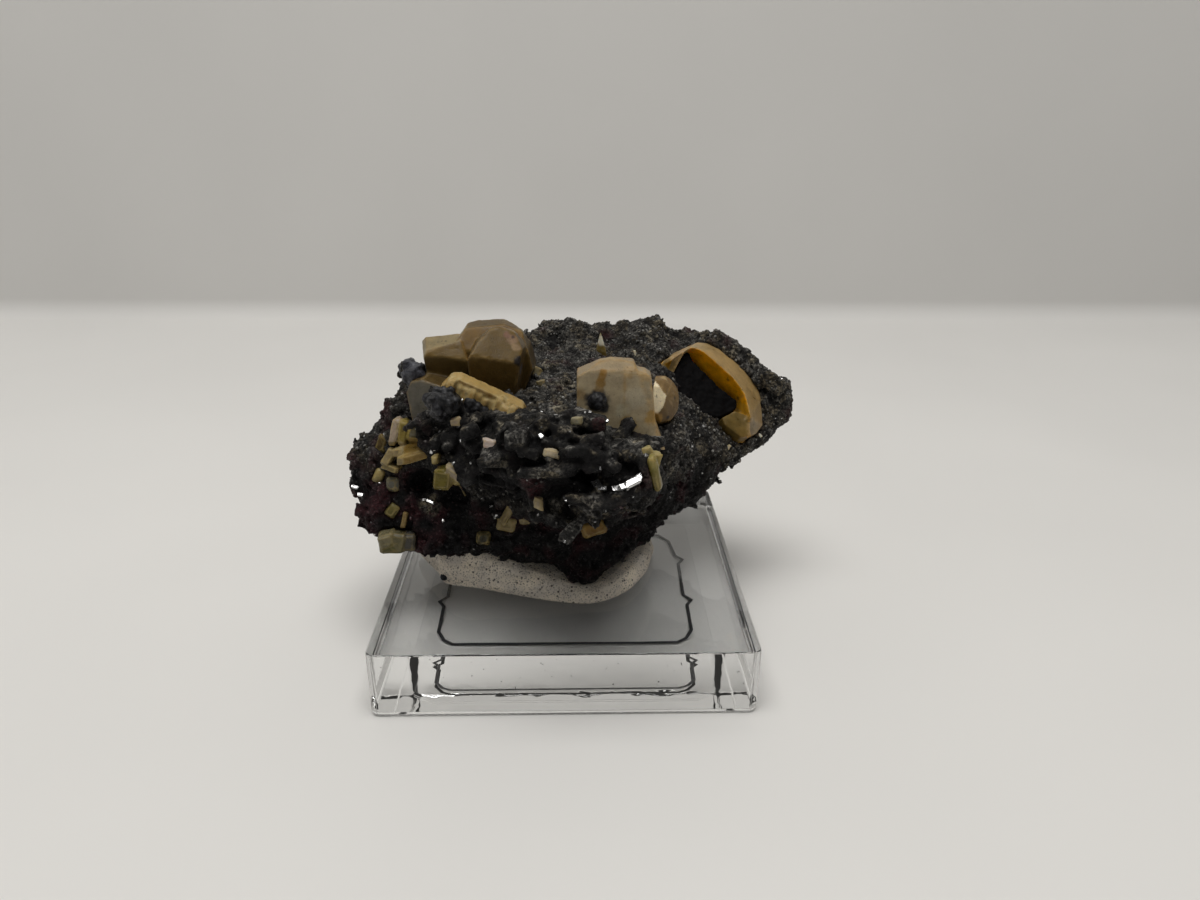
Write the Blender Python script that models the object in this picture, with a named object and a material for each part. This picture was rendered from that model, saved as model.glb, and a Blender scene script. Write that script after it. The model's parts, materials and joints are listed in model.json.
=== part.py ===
# A wulfenite specimen: dark gossan matrix with tan crystals, held by putty on a small clear base.
# Metres, +Z up. The origin is the centre of the base's underside; the front looks along -Y.
# Shapes are written in millimetres and turned into metres when they are built.
import math
from itertools import combinations

import bmesh
import bpy
from mathutils import Matrix, Vector, noise

MM = 0.001

# Clear base and the film on its underside
BASE_WIDTH = 38.0
BASE_TOP = 7.08
BASE_CORNER = 0.9
BASE_LOWER_EDGE = 0.5
BASE_UPPER_EDGE = 0.12
FILM_WIDTH = 30.6
FILM_DEPTH = 30.6
FILM_THICK = 0.12
FILM_CORNER = 2.0
GAP = 0.3

# Putty pad between the base and the rock
PUTTY_FOOT = BASE_TOP + GAP
PUTTY_OUTLINE = ((-17.2, 1.6), (-16.2, -0.8), (-14.3, -3.8), (-13.2, -6.0), (-9.7, -7.0),
                 (-6.9, -8.0), (-3.7, -9.1), (-0.6, -10.0), (2.6, -10.3), (5.8, -8.8),
                 (8.2, -5.7), (9.6, -1.8), (10.1, 2.4), (8.4, 6.2), (2.6, 8.0), (-5.0, 7.6),
                 (-12.0, 6.6), (-16.0, 4.6))
PUTTY_CENTRE = (-2.6, -0.6)
PUTTY_HEIGHTS = ((-17.5, 3.6), (-14.0, 4.7), (-10.0, 4.6), (-4.0, 2.9), (2.6, 1.2), (6.0, 2.0),
                 (10.5, 3.0))
# Each ring of the pad's side is a share of the outline's size and of the pad's height
PUTTY_RINGS = ((0.97, 0.0), (1.0, 0.2), (0.985, 0.5), (0.94, 0.78), (0.86, 0.94), (0.7, 1.0))
PUTTY_DENT = 0.2
PUTTY_DENT_SIZE = 2.9
PUTTY_CLEARANCE = 0.35

# Rock. Each roughness is the size of its bumps and their height.
ROCK_VOXEL = 0.55
ROCK_TRIANGLES = 2700
ROCK_EASE = 0.5
ROCK_EASE_STEPS = 3
ROCK_ROUGHNESS = ((3.4, 0.75), (1.6, 0.42), (0.85, 0.16))
CREASE_DEPTH = 0.18
CREASE_SIZE = 2.3
CREASE_SHIFT = (7.0, 3.0, 1.0)

# Each section is (x, outline), and the outline's points are (y, z). They run from the back
# top edge over the top, round the front nose, down the front wall and under to the back.
ROCK_SECTIONS = (
    (-23.1, ((0.0, 18.9), (-0.8, 19.4), (-1.6, 19.6), (-2.2, 19.5), (-2.8, 19.0), (-3.4, 18.2),
             (-3.7, 17.2), (-3.6, 16.6), (-3.2, 16.2), (-2.3, 16.2), (-0.8, 16.8), (0.2, 17.8))),
    (-22.5, ((0.8, 20.0), (0.0, 20.7), (-0.9, 20.9), (-1.8, 20.7), (-2.8, 19.8), (-3.6, 18.4),
             (-4.0, 17.0), (-3.9, 16.0), (-3.2, 15.5), (-2.0, 15.3), (0.0, 16.0), (1.2, 18.2))),
    (-20.1, ((3.0, 22.5), (2.0, 23.1), (0.0, 23.3), (-1.5, 22.8), (-3.5, 21.5), (-5.0, 19.5),
             (-6.2, 18.0), (-6.6, 16.5), (-7.0, 15.2), (-6.2, 14.2), (0.0, 14.5), (3.5, 18.5))),
    (-17.0, ((6.0, 26.4), (4.0, 27.2), (1.0, 27.2), (-1.5, 26.2), (-3.2, 24.4), (-5.0, 22.0),
             (-6.3, 19.0), (-7.0, 16.5), (-8.0, 14.0), (-8.2, 12.3), (-1.0, 11.5), (6.0, 18.0))),
    (-12.0, ((10.0, 28.5), (6.0, 29.3), (1.0, 29.0), (-4.0, 28.6), (-8.4, 27.8), (-9.8, 26.0),
             (-9.4, 22.8), (-7.0, 19.8), (-7.6, 15.5), (-8.6, 12.7), (-2.0, 9.5), (9.0, 18.0))),
    (-8.6, ((13.0, 29.3), (8.0, 29.0), (1.0, 28.6), (-6.0, 28.2), (-11.0, 27.8), (-14.4, 26.4),
            (-15.4, 24.0), (-9.5, 20.4), (-8.0, 16.0), (-8.6, 12.3), (-1.0, 8.9), (11.0, 18.0))),
    (-3.0, ((16.0, 30.2), (10.0, 29.0), (2.0, 27.9), (-6.0, 28.0), (-14.0, 29.3), (-19.3, 28.2),
            (-20.4, 24.6), (-12.0, 19.6), (-8.0, 15.0), (-8.7, 11.0), (0.0, 8.4), (12.5, 18.0))),
    (3.0, ((17.0, 30.1), (11.0, 29.9), (4.0, 29.0), (-6.0, 27.4), (-14.0, 28.0), (-20.6, 27.8),
           (-21.2, 23.2), (-13.0, 19.0), (-8.0, 14.5), (-8.6, 8.9), (1.5, 8.2), (13.0, 18.0))),
    (7.4, ((16.6, 30.4), (11.0, 29.7), (4.0, 28.4), (-5.0, 26.6), (-12.0, 26.6), (-18.8, 27.0),
           (-19.6, 23.4), (-10.0, 19.4), (-5.6, 15.0), (-5.4, 10.9), (3.0, 9.0), (13.5, 19.0))),
    (9.4, ((16.5, 30.9), (11.0, 29.7), (4.5, 28.0), (-2.0, 26.4), (-6.0, 25.6), (-9.4, 24.0),
           (-8.8, 21.4), (-5.6, 18.6), (-4.4, 15.0), (-4.2, 11.6), (4.0, 10.0), (13.5, 19.5))),
    (13.0, ((16.0, 30.3), (11.5, 29.3), (6.0, 27.6), (1.0, 26.0), (-2.2, 24.4), (-3.0, 22.3),
            (-2.6, 20.0), (-2.2, 17.5), (-2.4, 15.2), (-1.8, 13.2), (6.0, 12.5), (13.5, 21.0))),
    (17.0, ((15.0, 29.1), (12.0, 28.4), (8.5, 27.0), (5.0, 25.0), (2.5, 23.0), (1.2, 21.2),
            (0.9, 19.5), (1.0, 18.3), (1.3, 17.3), (2.0, 16.6), (8.0, 16.5), (13.5, 22.5))),
    (21.5, ((12.6, 26.2), (11.5, 26.1), (9.7, 25.3), (7.7, 23.7), (5.8, 21.9), (4.6, 20.6),
            (4.0, 19.6), (3.8, 19.0), (4.0, 18.6), (4.6, 18.2), (8.5, 19.0), (11.8, 23.0))),
    (26.0, ((11.8, 25.2), (11.0, 25.3), (10.2, 24.8), (9.2, 24.0), (8.4, 23.2), (7.8, 22.3),
            (7.4, 21.5), (7.3, 21.0), (7.5, 20.6), (8.0, 20.5), (9.8, 21.3), (11.2, 23.5))),
    (27.0, ((11.2, 24.8), (10.9, 25.0), (10.5, 24.9), (10.1, 24.6), (9.8, 24.4), (9.6, 24.0),
            (9.5, 23.6), (9.5, 23.4), (9.6, 23.2), (9.9, 23.2), (10.5, 23.6), (11.0, 24.4))),
)

# Rounded lumps on the rock: centre, three radii and the turn about Z in degrees
ROCK_LUMPS = {
    "bead in front of the grey face": ((-11.6, -8.6, 28.6), (2.1, 2.0, 1.9), 0),
    "coated lump beside the grey face": ((-15.7, -1.6, 29.4), (1.6, 1.8, 1.7), 10),
    "left shoulder": ((-17.4, -0.8, 24.7), (1.8, 2.0, 1.7), 0),
    "left knob": ((-21.2, -2.0, 20.4), (1.4, 1.8, 1.5), 0),
    "left foot": ((-19.1, -6.4, 14.6), (1.9, 1.6, 1.6), 0),
    "front lump left": ((-7.4, -13.8, 27.0), (2.6, 2.3, 1.6), 10),
    "front lump middle": ((-2.8, -17.6, 28.8), (2.8, 2.4, 1.4), -8),
    "front plate": ((2.2, -19.8, 27.6), (3.6, 2.2, 1.3), 6),
    "front shelf": ((3.6, -18.6, 23.6), (4.6, 3.0, 1.2), 4),
    "front right rim": ((7.2, -18.2, 25.6), (1.5, 2.4, 2.4), -10),
    "crust before the centre": ((1.3, -15.6, 28.9), (2.4, 1.8, 1.6), 0),
    "crust right of the centre": ((7.2, -14.8, 26.6), (1.8, 1.8, 1.6), 0),
    "back ridge left": ((-1.2, 16.0, 29.3), (2.4, 2.0, 1.4), 0),
    "back ridge middle": ((9.6, 15.4, 29.7), (3.2, 2.2, 1.3), 0),
    "back ridge right": ((15.4, 14.2, 28.9), (3.0, 2.4, 1.2), 0),
    "seat of the round crystal": ((10.6, -4.4, 24.5), (2.2, 2.6, 1.7), 0),
    "crust under the front": ((-4.2, -10.0, 18.6), (3.2, 2.2, 1.7), 0),
    "seat of the middle block": ((-10.8, -8.6, 22.6), (2.0, 1.8, 1.9), 0),
    "lower tip": ((2.5, -7.9, 9.5), (1.7, 1.5, 1.7), 0),
}

# Hollows worn into the rock: centre and three radii
ROCK_HOLLOWS = {
    "cave under the front plates": ((1.6, -21.0, 25.4), (4.4, 3.4, 0.9)),
    "cave left of the front": ((-11.4, -11.2, 20.6), (2.6, 3.2, 2.2)),
    "notch beside the rim": ((-6.6, -17.6, 21.4), (2.4, 3.0, 1.6)),
}

# Crystals cut from flat facets: centre, then each facet as (turn, rise, reach).
# Turn is measured from +X about +Z, rise is up from level, and reach is from the centre.
FACETED = {
    "upper left": ((-12.2, -1.2, 31.2), (
        (-101, 72, 1.79), (-77, 37, 1.68), (-85, -10, 1.59), (-160, 29, 2.51), (-172, -8, 2.2),
        (5, 21, 2.15), (5, -10, 2.4), (100, 40, 2.2), (95, -8, 2.6), (-90, -90, 3.6))),
    "upper right": ((-6.9, -3.0, 31.6), (
        (-95, 72, 2.95), (-71, 40, 1.66), (-84, -9, 1.72), (-177, 28, 2.77), (-177, -6, 2.6),
        (-15, 24, 2.86), (-29, -11, 2.5), (-42, 60, 2.64), (95, 35, 2.6), (95, -8, 2.8),
        (-90, -90, 4.4))),
    "behind": ((-7.3, 0.6, 31.2), (
        (-115, 84, 3.15), (-82, 38, 2.3), (178, 36, 4.1), (178, -6, 4.2), (-25, 30, 2.7),
        (-22, -4, 2.7), (30, 42, 3.0), (95, 44, 3.4), (95, -8, 3.2), (135, 40, 3.9),
        (-85, -8, 2.0), (-90, -90, 4.0))),
    "centre": ((4.8, -10.6, 30.6), (
        (-81, 56, 2.27), (-83, 7, 0.91), (180, 9, 3.92), (-150, 40, 2.86), (85, 76, 3.28),
        (-79, 23, 1.59), (-30, 59, 3.23), (-4, 6, 3.55), (97, 30, 2.7), (97, -8, 2.5),
        (-100, -32, 3.6), (-90, -90, 5.6))),
}

# Crystals given by their corners
GREY_FACE = ((-14.2, -4.7, 30.6), (-15.4, -4.5, 30.2), (-15.9, -4.7, 28.8), (-15.4, -5.3, 26.1),
             (-15.1, -5.5, 25.4), (-14.6, -5.7, 25.1), (-13.5, -6.0, 25.2), (-12.4, -6.0, 26.2),
             (-12.2, -5.2, 29.9))
GREY_BACK = (0.6, 3.4, -0.3)

BLADE_CENTRE = (-7.9, -7.6, 28.7)
BLADE_THICK = 1.7
BLADE_SLOPE = -26.0
BLADE_LEAN = 18.0
# The blade's outline along its length and height, and how far its front top edge is set in
BLADE_OUTLINE = ((-4.35, -0.7), (-3.85, 1.2), (-3.05, 1.7), (3.65, 1.7), (4.35, 0.7),
                 (4.25, -0.85), (2.95, -1.7), (-2.85, -1.7))
BLADE_EDGE = 0.2
BLADE_EDGE_FROM = 1.15

ROUND_RIM = ((9.0, -5.8, 30.2), (10.0, -5.3, 30.1), (10.8, -4.9, 29.5), (11.4, -4.8, 28.6),
             (11.6, -5.0, 27.7), (11.4, -5.5, 26.8), (10.7, -6.2, 26.1), (9.6, -6.8, 26.2))
ROUND_FACE = ((8.8, -6.3, 29.7), (9.6, -6.6, 29.6), (10.1, -6.9, 29.0), (9.9, -7.1, 28.0),
              (9.3, -7.1, 27.1), (8.6, -6.8, 27.0))
ROUND_BACK = (0.2, 1.6, 0.0)
ROUND_ROOT = (-0.6, 2.0, -1.5)

CRESCENT_OUTER = ((10.8, 6.5, 28.1), (12.5, 8.3, 29.2), (15.3, 10.1, 29.9), (17.4, 10.6, 29.6),
                  (19.3, 10.8, 29.0), (20.6, 10.2, 27.7), (21.6, 9.8, 26.9), (22.3, 8.5, 25.2),
                  (22.7, 7.5, 23.9), (22.7, 5.2, 21.4), (21.8, 4.2, 20.8), (20.7, 3.5, 20.5),
                  (19.1, 3.0, 20.7))
CRESCENT_RIDGE = ((11.9, 5.0, 29.3), (13.8, 6.4, 30.0), (15.5, 6.9, 29.7), (16.8, 6.4, 28.7),
                  (17.9, 5.5, 27.2), (18.9, 5.7, 27.0), (20.2, 4.6, 25.2), (20.7, 2.9, 23.2))
CRESCENT_INNER = ((12.1, 5.3, 26.9), (13.0, 6.9, 28.3), (14.2, 8.5, 29.4), (15.4, 7.8, 28.2),
                  (17.1, 7.1, 26.8), (18.6, 6.6, 25.5), (19.9, 6.0, 24.3), (19.4, 5.2, 23.6),
                  (17.6, 3.9, 23.0))
# The dark flat-bottomed hollow in the rock below the crescent
CRESCENT_HOLLOW = ((12.1, 5.3, 26.9), (14.0, 8.1, 29.1), (16.7, 6.6, 26.4), (19.6, 5.7, 24.1),
                   (17.8, 3.6, 22.7), (14.4, 2.4, 23.4), (12.6, 3.6, 25.2))
CRESCENT_HOLLOW_DEPTH = 1.5
CRESCENT_HOLLOW_HEIGHT = 2.0
CRESCENT_UP = (0.28, -0.70, 0.65)
CRESCENT_ROOT = 1.6
HEEL_ROOT = 2.24
# The space that the crescent's arms hold: how far it reaches below and above them, and its way out
SPACE_BELOW = (0.6, 2.4)
SPACE_ABOVE = 2.2
SPACE_FRONT = (-3.0, -3.5, -3.5)
CRESCENT_HEEL = ((17.4, 2.5, 23.3), (19.0, 3.5, 23.7), (20.2, 3.6, 23.3), (20.7, 2.9, 22.4),
                 (20.8, 2.0, 21.3), (19.6, 1.6, 21.3), (17.7, 2.0, 22.6))

SLIVER_POINTS = ((3.95, 7.5, 31.9), (4.25, 7.3, 30.4), (3.65, 7.3, 30.5), (3.5, 6.9, 29.9),
                 (4.6, 6.8, 29.6), (3.5, 7.9, 29.9), (4.6, 7.8, 29.6), (3.6, 6.9, 28.0),
                 (4.7, 6.8, 28.0), (3.6, 8.0, 28.0), (4.7, 8.0, 28.0))

# A tabular crystal's section as (height, inset) shares of its thickness, and its clipped corners
SLAB_LEVELS = ((-0.5, 0.3), (-0.22, 0.0), (0.22, 0.0), (0.5, 0.3))
SLAB_CLIP = 0.16

# Small tabular crystals. Each is a group that grew together, and each member is its centre,
# width, length, thickness, then turn and rise of its short axis and the spin about it.
SMALL_CRYSTALS = {
    "crystal_left_cup": (
        ((-16.0, -4.9, 23.4), 2.9, 2.7, 1.4, -120, 35, 10),
        ((-12.7, -6.1, 24.0), 2.0, 1.2, 1.0, -70, 10, 20),
        ((-14.8, -6.7, 22.8), 4.6, 2.0, 0.9, -80, 62, -10),
        ((-17.5, -5.3, 21.5), 2.4, 1.4, 0.9, -130, 55, 40)),
    "crystal_left_chip": (((-19.3, -5.0, 19.6), 1.1, 1.5, 0.8, -100, 15, 20),),
    "crystal_left_grey": (((-17.7, -6.1, 19.1), 1.4, 1.5, 1.0, -100, 20, 0),),
    "crystal_left_outer": (((-19.0, -3.5, 22.6), 1.3, 1.9, 0.9, -110, 20, 15),),
    "crystal_middle_block": (((-11.4, -10.0, 22.0), 2.9, 3.3, 1.9, -70, 15, 30),),
    "crystal_low_left": (
        ((-18.2, -7.6, 13.4), 2.2, 2.7, 1.7, -95, 25, 15),
        ((-16.3, -8.0, 13.7), 1.8, 2.1, 1.3, -80, 20, -5),
        ((-16.2, -7.9, 15.5), 1.2, 2.1, 0.8, -60, 10, 15)),
    "crystal_wall": (((-17.8, -7.0, 16.6), 1.2, 1.5, 0.8, -100, 20, 30),),
    "crystal_under_pair": (((-6.0, -8.5, 15.7), 2.0, 1.5, 0.9, -100, 25, 8),),
    "crystal_under_blade": (((-5.7, -10.9, 18.0), 0.9, 2.3, 0.8, -110, 20, 25),),
    "crystal_under_stub": (((-4.0, -10.8, 17.5), 1.2, 1.3, 0.9, -80, 25, 0),),
    "crystal_under_tooth": (((-2.5, -12.1, 18.9), 1.1, 1.6, 0.8, -95, 10, 10),),
    "crystal_wall_square": (((-8.4, -8.2, 14.0), 1.5, 1.5, 0.9, -90, 10, 5),),
    "crystal_under_amber": (((2.9, -10.1, 16.0), 2.6, 1.6, 0.9, -80, 20, -15),),
    "crystal_rim_green": (((8.0, -19.3, 26.0), 1.1, 3.6, 0.8, -15, 10, -12),),
}

COLOURS = {
    "acrylic": ((0.93, 0.94, 0.94, 1.0), 0.03, 0.0),
    "film": ((0.88, 0.88, 0.88, 1.0), 0.35, 0.0),
    "putty": ((0.62, 0.56, 0.47, 1.0), 0.75, 0.0),
    "rock": ((0.035, 0.032, 0.034, 1.0), 0.6, 0.1),
    "crystal": ((0.56, 0.43, 0.24, 1.0), 0.3, 0.0),
    "pale crystal": ((0.66, 0.60, 0.46, 1.0), 0.35, 0.0),
}


def clear_scene():
    for item in list(bpy.data.objects):
        bpy.data.objects.remove(item, do_unlink=True)


def make_material(name):
    colour, roughness, metallic = COLOURS[name]
    material = bpy.data.materials.get(name)
    if material is None:
        material = bpy.data.materials.new(name)
        material.use_nodes = True
        shader = material.node_tree.nodes["Principled BSDF"]
        shader.inputs["Base Color"].default_value = colour
        shader.inputs["Roughness"].default_value = roughness
        shader.inputs["Metallic"].default_value = metallic
    return material


def add_object(name, mesh, material_name):
    item = bpy.data.objects.new(name, mesh)
    bpy.context.scene.collection.objects.link(item)
    mesh.materials.clear()
    mesh.materials.append(make_material(material_name))
    return item


def mesh_from(bm, name):
    bmesh.ops.recalc_face_normals(bm, faces=bm.faces)
    mesh = bpy.data.meshes.new(name)
    bm.to_mesh(mesh)
    bm.free()
    return mesh


def direction(turn, rise):
    turn = math.radians(turn)
    rise = math.radians(rise)
    return Vector((math.cos(turn) * math.cos(rise), math.sin(turn) * math.cos(rise), math.sin(rise)))


def hull_mesh(name, points, grow=0.0):
    """A closed convex solid round points in millimetres, grown outwards by grow."""
    bm = bmesh.new()
    steps = (-grow, grow) if grow else (0.0,)
    for point in points:
        for x in steps:
            for y in steps:
                for z in steps:
                    bm.verts.new((Vector(point) + Vector((x, y, z))) * MM)
    result = bmesh.ops.convex_hull(bm, input=bm.verts)
    loose = [v for v in result["geom_interior"] if isinstance(v, bmesh.types.BMVert)]
    loose += [v for v in result["geom_unused"] if isinstance(v, bmesh.types.BMVert)]
    bmesh.ops.delete(bm, geom=list(set(loose)), context="VERTS")
    bmesh.ops.remove_doubles(bm, verts=bm.verts, dist=0.04 * MM)
    bmesh.ops.dissolve_limit(bm, angle_limit=math.radians(0.5), verts=bm.verts, edges=bm.edges)
    bmesh.ops.triangulate(bm, faces=bm.faces)
    return mesh_from(bm, name)


def facet_corners(centre, facets):
    """The corners of the solid that lies inside every facet's plane."""
    planes = [(direction(turn, rise), reach) for turn, rise, reach in facets]
    corners = []
    for first, second, third in combinations(planes, 3):
        rows = Matrix((first[0], second[0], third[0]))
        if abs(rows.determinant()) < 0.02:
            continue
        corner = rows.inverted() @ Vector((first[1], second[1], third[1]))
        if all(normal.dot(corner) <= reach + 0.001 for normal, reach in planes):
            corners.append(corner + Vector(centre))
    return corners


def slab_corners(centre, width, length, thick, turn, rise, spin):
    """A tabular crystal: a square plate with bevelled edges, its short axis at turn and rise."""
    axis = direction(turn, rise)
    side = axis.cross(Vector((0.0, 0.0, 1.0))).normalized()
    up = side.cross(axis)
    spin = math.radians(spin)
    across = side * math.cos(spin) + up * math.sin(spin)
    along = up * math.cos(spin) - side * math.sin(spin)
    corners = []
    clip = SLAB_CLIP * min(width, length)
    for level, inset in SLAB_LEVELS:
        half_width = width / 2 - inset * thick
        half_length = length / 2 - inset * thick
        for sx in (-1, 1):
            for sy in (-1, 1):
                for dx, dy in ((clip, 0.0), (0.0, clip)):
                    corners.append(Vector(centre) + axis * level * thick
                                   + across * sx * (half_width - dx)
                                   + along * sy * (half_length - dy))
    return corners


def blade_corners():
    """The plate that stands on edge in front of the left cluster."""
    slope = math.radians(BLADE_SLOPE)
    lean = math.radians(BLADE_LEAN)
    along = Vector((math.cos(slope), 0.0, math.sin(slope)))
    out = Vector((0.0, -math.cos(lean), -math.sin(lean)))
    up = along.cross(out).normalized()
    if up.z < 0:
        up = -up
    out = up.cross(along).normalized()
    corners = []
    for s, t in BLADE_OUTLINE:
        edge = BLADE_EDGE if t >= BLADE_EDGE_FROM else 0.0
        middle = Vector(BLADE_CENTRE) + along * s
        corners.append(middle + up * t - out * BLADE_THICK / 2)
        corners.append(middle + up * (t - edge) + out * BLADE_THICK / 2)
    return corners


def copy_shifted(points, shift):
    return [Vector(p) + Vector(shift) for p in points]


def bake_modifiers(item):
    """Keeps the shape that the modifiers give, so that its vertices can be moved."""
    graph = bpy.context.evaluated_depsgraph_get()
    graph.update()
    mesh = bpy.data.meshes.new_from_object(item.evaluated_get(graph), depsgraph=graph)
    item.modifiers.clear()
    old = item.data
    item.data = mesh
    bpy.data.meshes.remove(old)


def combine(item, others, operation):
    for other in others:
        step = item.modifiers.new("cut", "BOOLEAN")
        step.operation = operation
        step.solver = "EXACT"
        step.object = other
    bake_modifiers(item)
    for other in others:
        bpy.data.objects.remove(other, do_unlink=True)


def keep_largest_body(item):
    """Drops crumbs that a cut leaves loose, so that the piece is one body."""
    bm = bmesh.new()
    bm.from_mesh(item.data)
    bmesh.ops.remove_doubles(bm, verts=bm.verts, dist=0.002 * MM)
    left = set(bm.verts)
    bodies = []
    while left:
        body = {left.pop()}
        edge = list(body)
        while edge:
            vertex = edge.pop()
            for link in vertex.link_edges:
                other = link.other_vert(vertex)
                if other in left:
                    left.remove(other)
                    body.add(other)
                    edge.append(other)
        bodies.append(body)
    bodies.sort(key=len, reverse=True)
    crumbs = [v for body in bodies[1:] for v in body]
    bmesh.ops.delete(bm, geom=crumbs, context="VERTS")
    bmesh.ops.triangulate(bm, faces=bm.faces)
    bm.to_mesh(item.data)
    bm.free()


def build_base():
    bm = bmesh.new()
    bmesh.ops.create_cube(bm, size=1.0)
    bottom = FILM_THICK + GAP
    height = BASE_TOP - bottom
    for vertex in bm.verts:
        vertex.co.x *= BASE_WIDTH * MM
        vertex.co.y *= BASE_WIDTH * MM
        vertex.co.z = (bottom + (vertex.co.z + 0.5) * height) * MM
    upright = [e for e in bm.edges if abs(e.verts[0].co.z - e.verts[1].co.z) > MM]
    bmesh.ops.bevel(bm, geom=upright, offset=BASE_CORNER * MM, segments=4, profile=0.5,
                    affect="EDGES")
    for level, width, steps in ((bottom, BASE_LOWER_EDGE, 3), (BASE_TOP, BASE_UPPER_EDGE, 1)):
        rim = [e for e in bm.edges if all(abs(v.co.z - level * MM) < 0.01 * MM for v in e.verts)]
        bmesh.ops.bevel(bm, geom=rim, offset=width * MM, segments=steps, profile=0.5,
                        affect="EDGES")
    bmesh.ops.triangulate(bm, faces=bm.faces)
    add_object("acrylic_base", mesh_from(bm, "acrylic_base"), "acrylic")


def build_film():
    """The clear film stuck under the base, with clipped corners."""
    bm = bmesh.new()
    half_x = FILM_WIDTH / 2
    half_y = FILM_DEPTH / 2
    outline = []
    for sx, sy in ((1, 1), (-1, 1), (-1, -1), (1, -1)):
        near = (sx * half_x, sy * (half_y - FILM_CORNER))
        far = (sx * (half_x - FILM_CORNER), sy * half_y)
        outline += [near, far] if sx * sy > 0 else [far, near]
    floor = [bm.verts.new((x * MM, y * MM, 0.0)) for x, y in outline]
    face = bm.faces.new(floor)
    result = bmesh.ops.extrude_face_region(bm, geom=[face])
    for vertex in (v for v in result["geom"] if isinstance(v, bmesh.types.BMVert)):
        vertex.co.z = FILM_THICK * MM
    bmesh.ops.triangulate(bm, faces=bm.faces)
    add_object("label_film", mesh_from(bm, "label_film"), "film")


def smooth_loop(points, steps):
    """A closed smooth curve through the points, with the given steps between each two."""
    loop = []
    count = len(points)
    for i in range(count):
        before, start, end, after = (Vector(points[(i + k) % count]) for k in (-1, 0, 1, 2))
        for step in range(steps):
            t = step / steps
            loop.append(0.5 * (2 * start + (end - before) * t
                               + (2 * before - 5 * start + 4 * end - after) * t * t
                               + (3 * start - before - 3 * end + after) * t ** 3))
    return loop


def putty_height(x):
    """The pad is thick at the left, where the rock stands higher above the base."""
    for (left, low), (right, high) in zip(PUTTY_HEIGHTS, PUTTY_HEIGHTS[1:]):
        if x <= right:
            share = max(0.0, (x - left) / (right - left))
            return low + (high - low) * share
    return PUTTY_HEIGHTS[-1][1]


def build_putty(name="putty_pad", grow=0.0):
    bm = bmesh.new()
    centre = Vector(PUTTY_CENTRE)
    outline = smooth_loop(PUTTY_OUTLINE, 3)
    count = len(outline)
    layers = []
    for share, level in PUTTY_RINGS:
        layer = []
        for point in outline:
            x, y = centre + (point - centre) * share
            z = PUTTY_FOOT + level * putty_height(x)
            layer.append(bm.verts.new((x * MM, y * MM, z * MM)))
        layers.append(layer)
    for lower, upper in zip(layers, layers[1:]):
        for step in range(count):
            other = (step + 1) % count
            bm.faces.new((lower[step], lower[other], upper[other], upper[step]))
    bm.faces.new(list(reversed(layers[0])))
    bm.faces.new(layers[-1])
    bmesh.ops.triangulate(bm, faces=bm.faces)
    bmesh.ops.recalc_face_normals(bm, faces=bm.faces)
    bm.normal_update()
    for vertex in bm.verts:
        dent = PUTTY_DENT * noise.noise(vertex.co / (PUTTY_DENT_SIZE * MM))
        if vertex.co.z > (PUTTY_FOOT + 0.1) * MM:
            vertex.co += vertex.normal * dent * MM
        vertex.co += vertex.normal * grow * MM
    return add_object(name, mesh_from(bm, name), "putty")


def rock_body():
    """The rock's body: its sections joined by skins, with the two ends capped."""
    bm = bmesh.new()
    rows = []
    for x, outline in ROCK_SECTIONS:
        rows.append([bm.verts.new((x * MM, y * MM, z * MM)) for y, z in outline])
    count = len(rows[0])
    for left, right in zip(rows, rows[1:]):
        for i in range(count):
            j = (i + 1) % count
            bm.faces.new((left[i], left[j], right[j], right[i]))
    bm.faces.new(rows[0])
    bm.faces.new(list(reversed(rows[-1])))
    return bm


def add_lump(bm, centre, radii, turn):
    place = Matrix.Translation(Vector(centre) * MM) @ Matrix.Rotation(math.radians(turn), 4, "Z")
    stretch = Matrix.Diagonal((radii[0] * MM, radii[1] * MM, radii[2] * MM, 1.0))
    bmesh.ops.create_icosphere(bm, subdivisions=3, radius=1.0, matrix=place @ stretch)


def roughen(mesh):
    """Moves each vertex along its normal by layered noise, so the surface is broken and lumpy."""
    moves = []
    for vertex in mesh.vertices:
        place = vertex.co / MM
        push = 0.0
        for size, height in ROCK_ROUGHNESS:
            push += height * noise.noise(place / size)
        push -= CREASE_DEPTH * abs(noise.noise(place / CREASE_SIZE + Vector(CREASE_SHIFT)))
        moves.append(vertex.co + vertex.normal * push * MM)
    for vertex, place in zip(mesh.vertices, moves):
        vertex.co = place


def add_skin(item):
    """One closed skin round all that overlaps in the item."""
    skin = item.modifiers.new("skin", "REMESH")
    skin.mode = "VOXEL"
    skin.voxel_size = ROCK_VOXEL * MM


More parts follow.
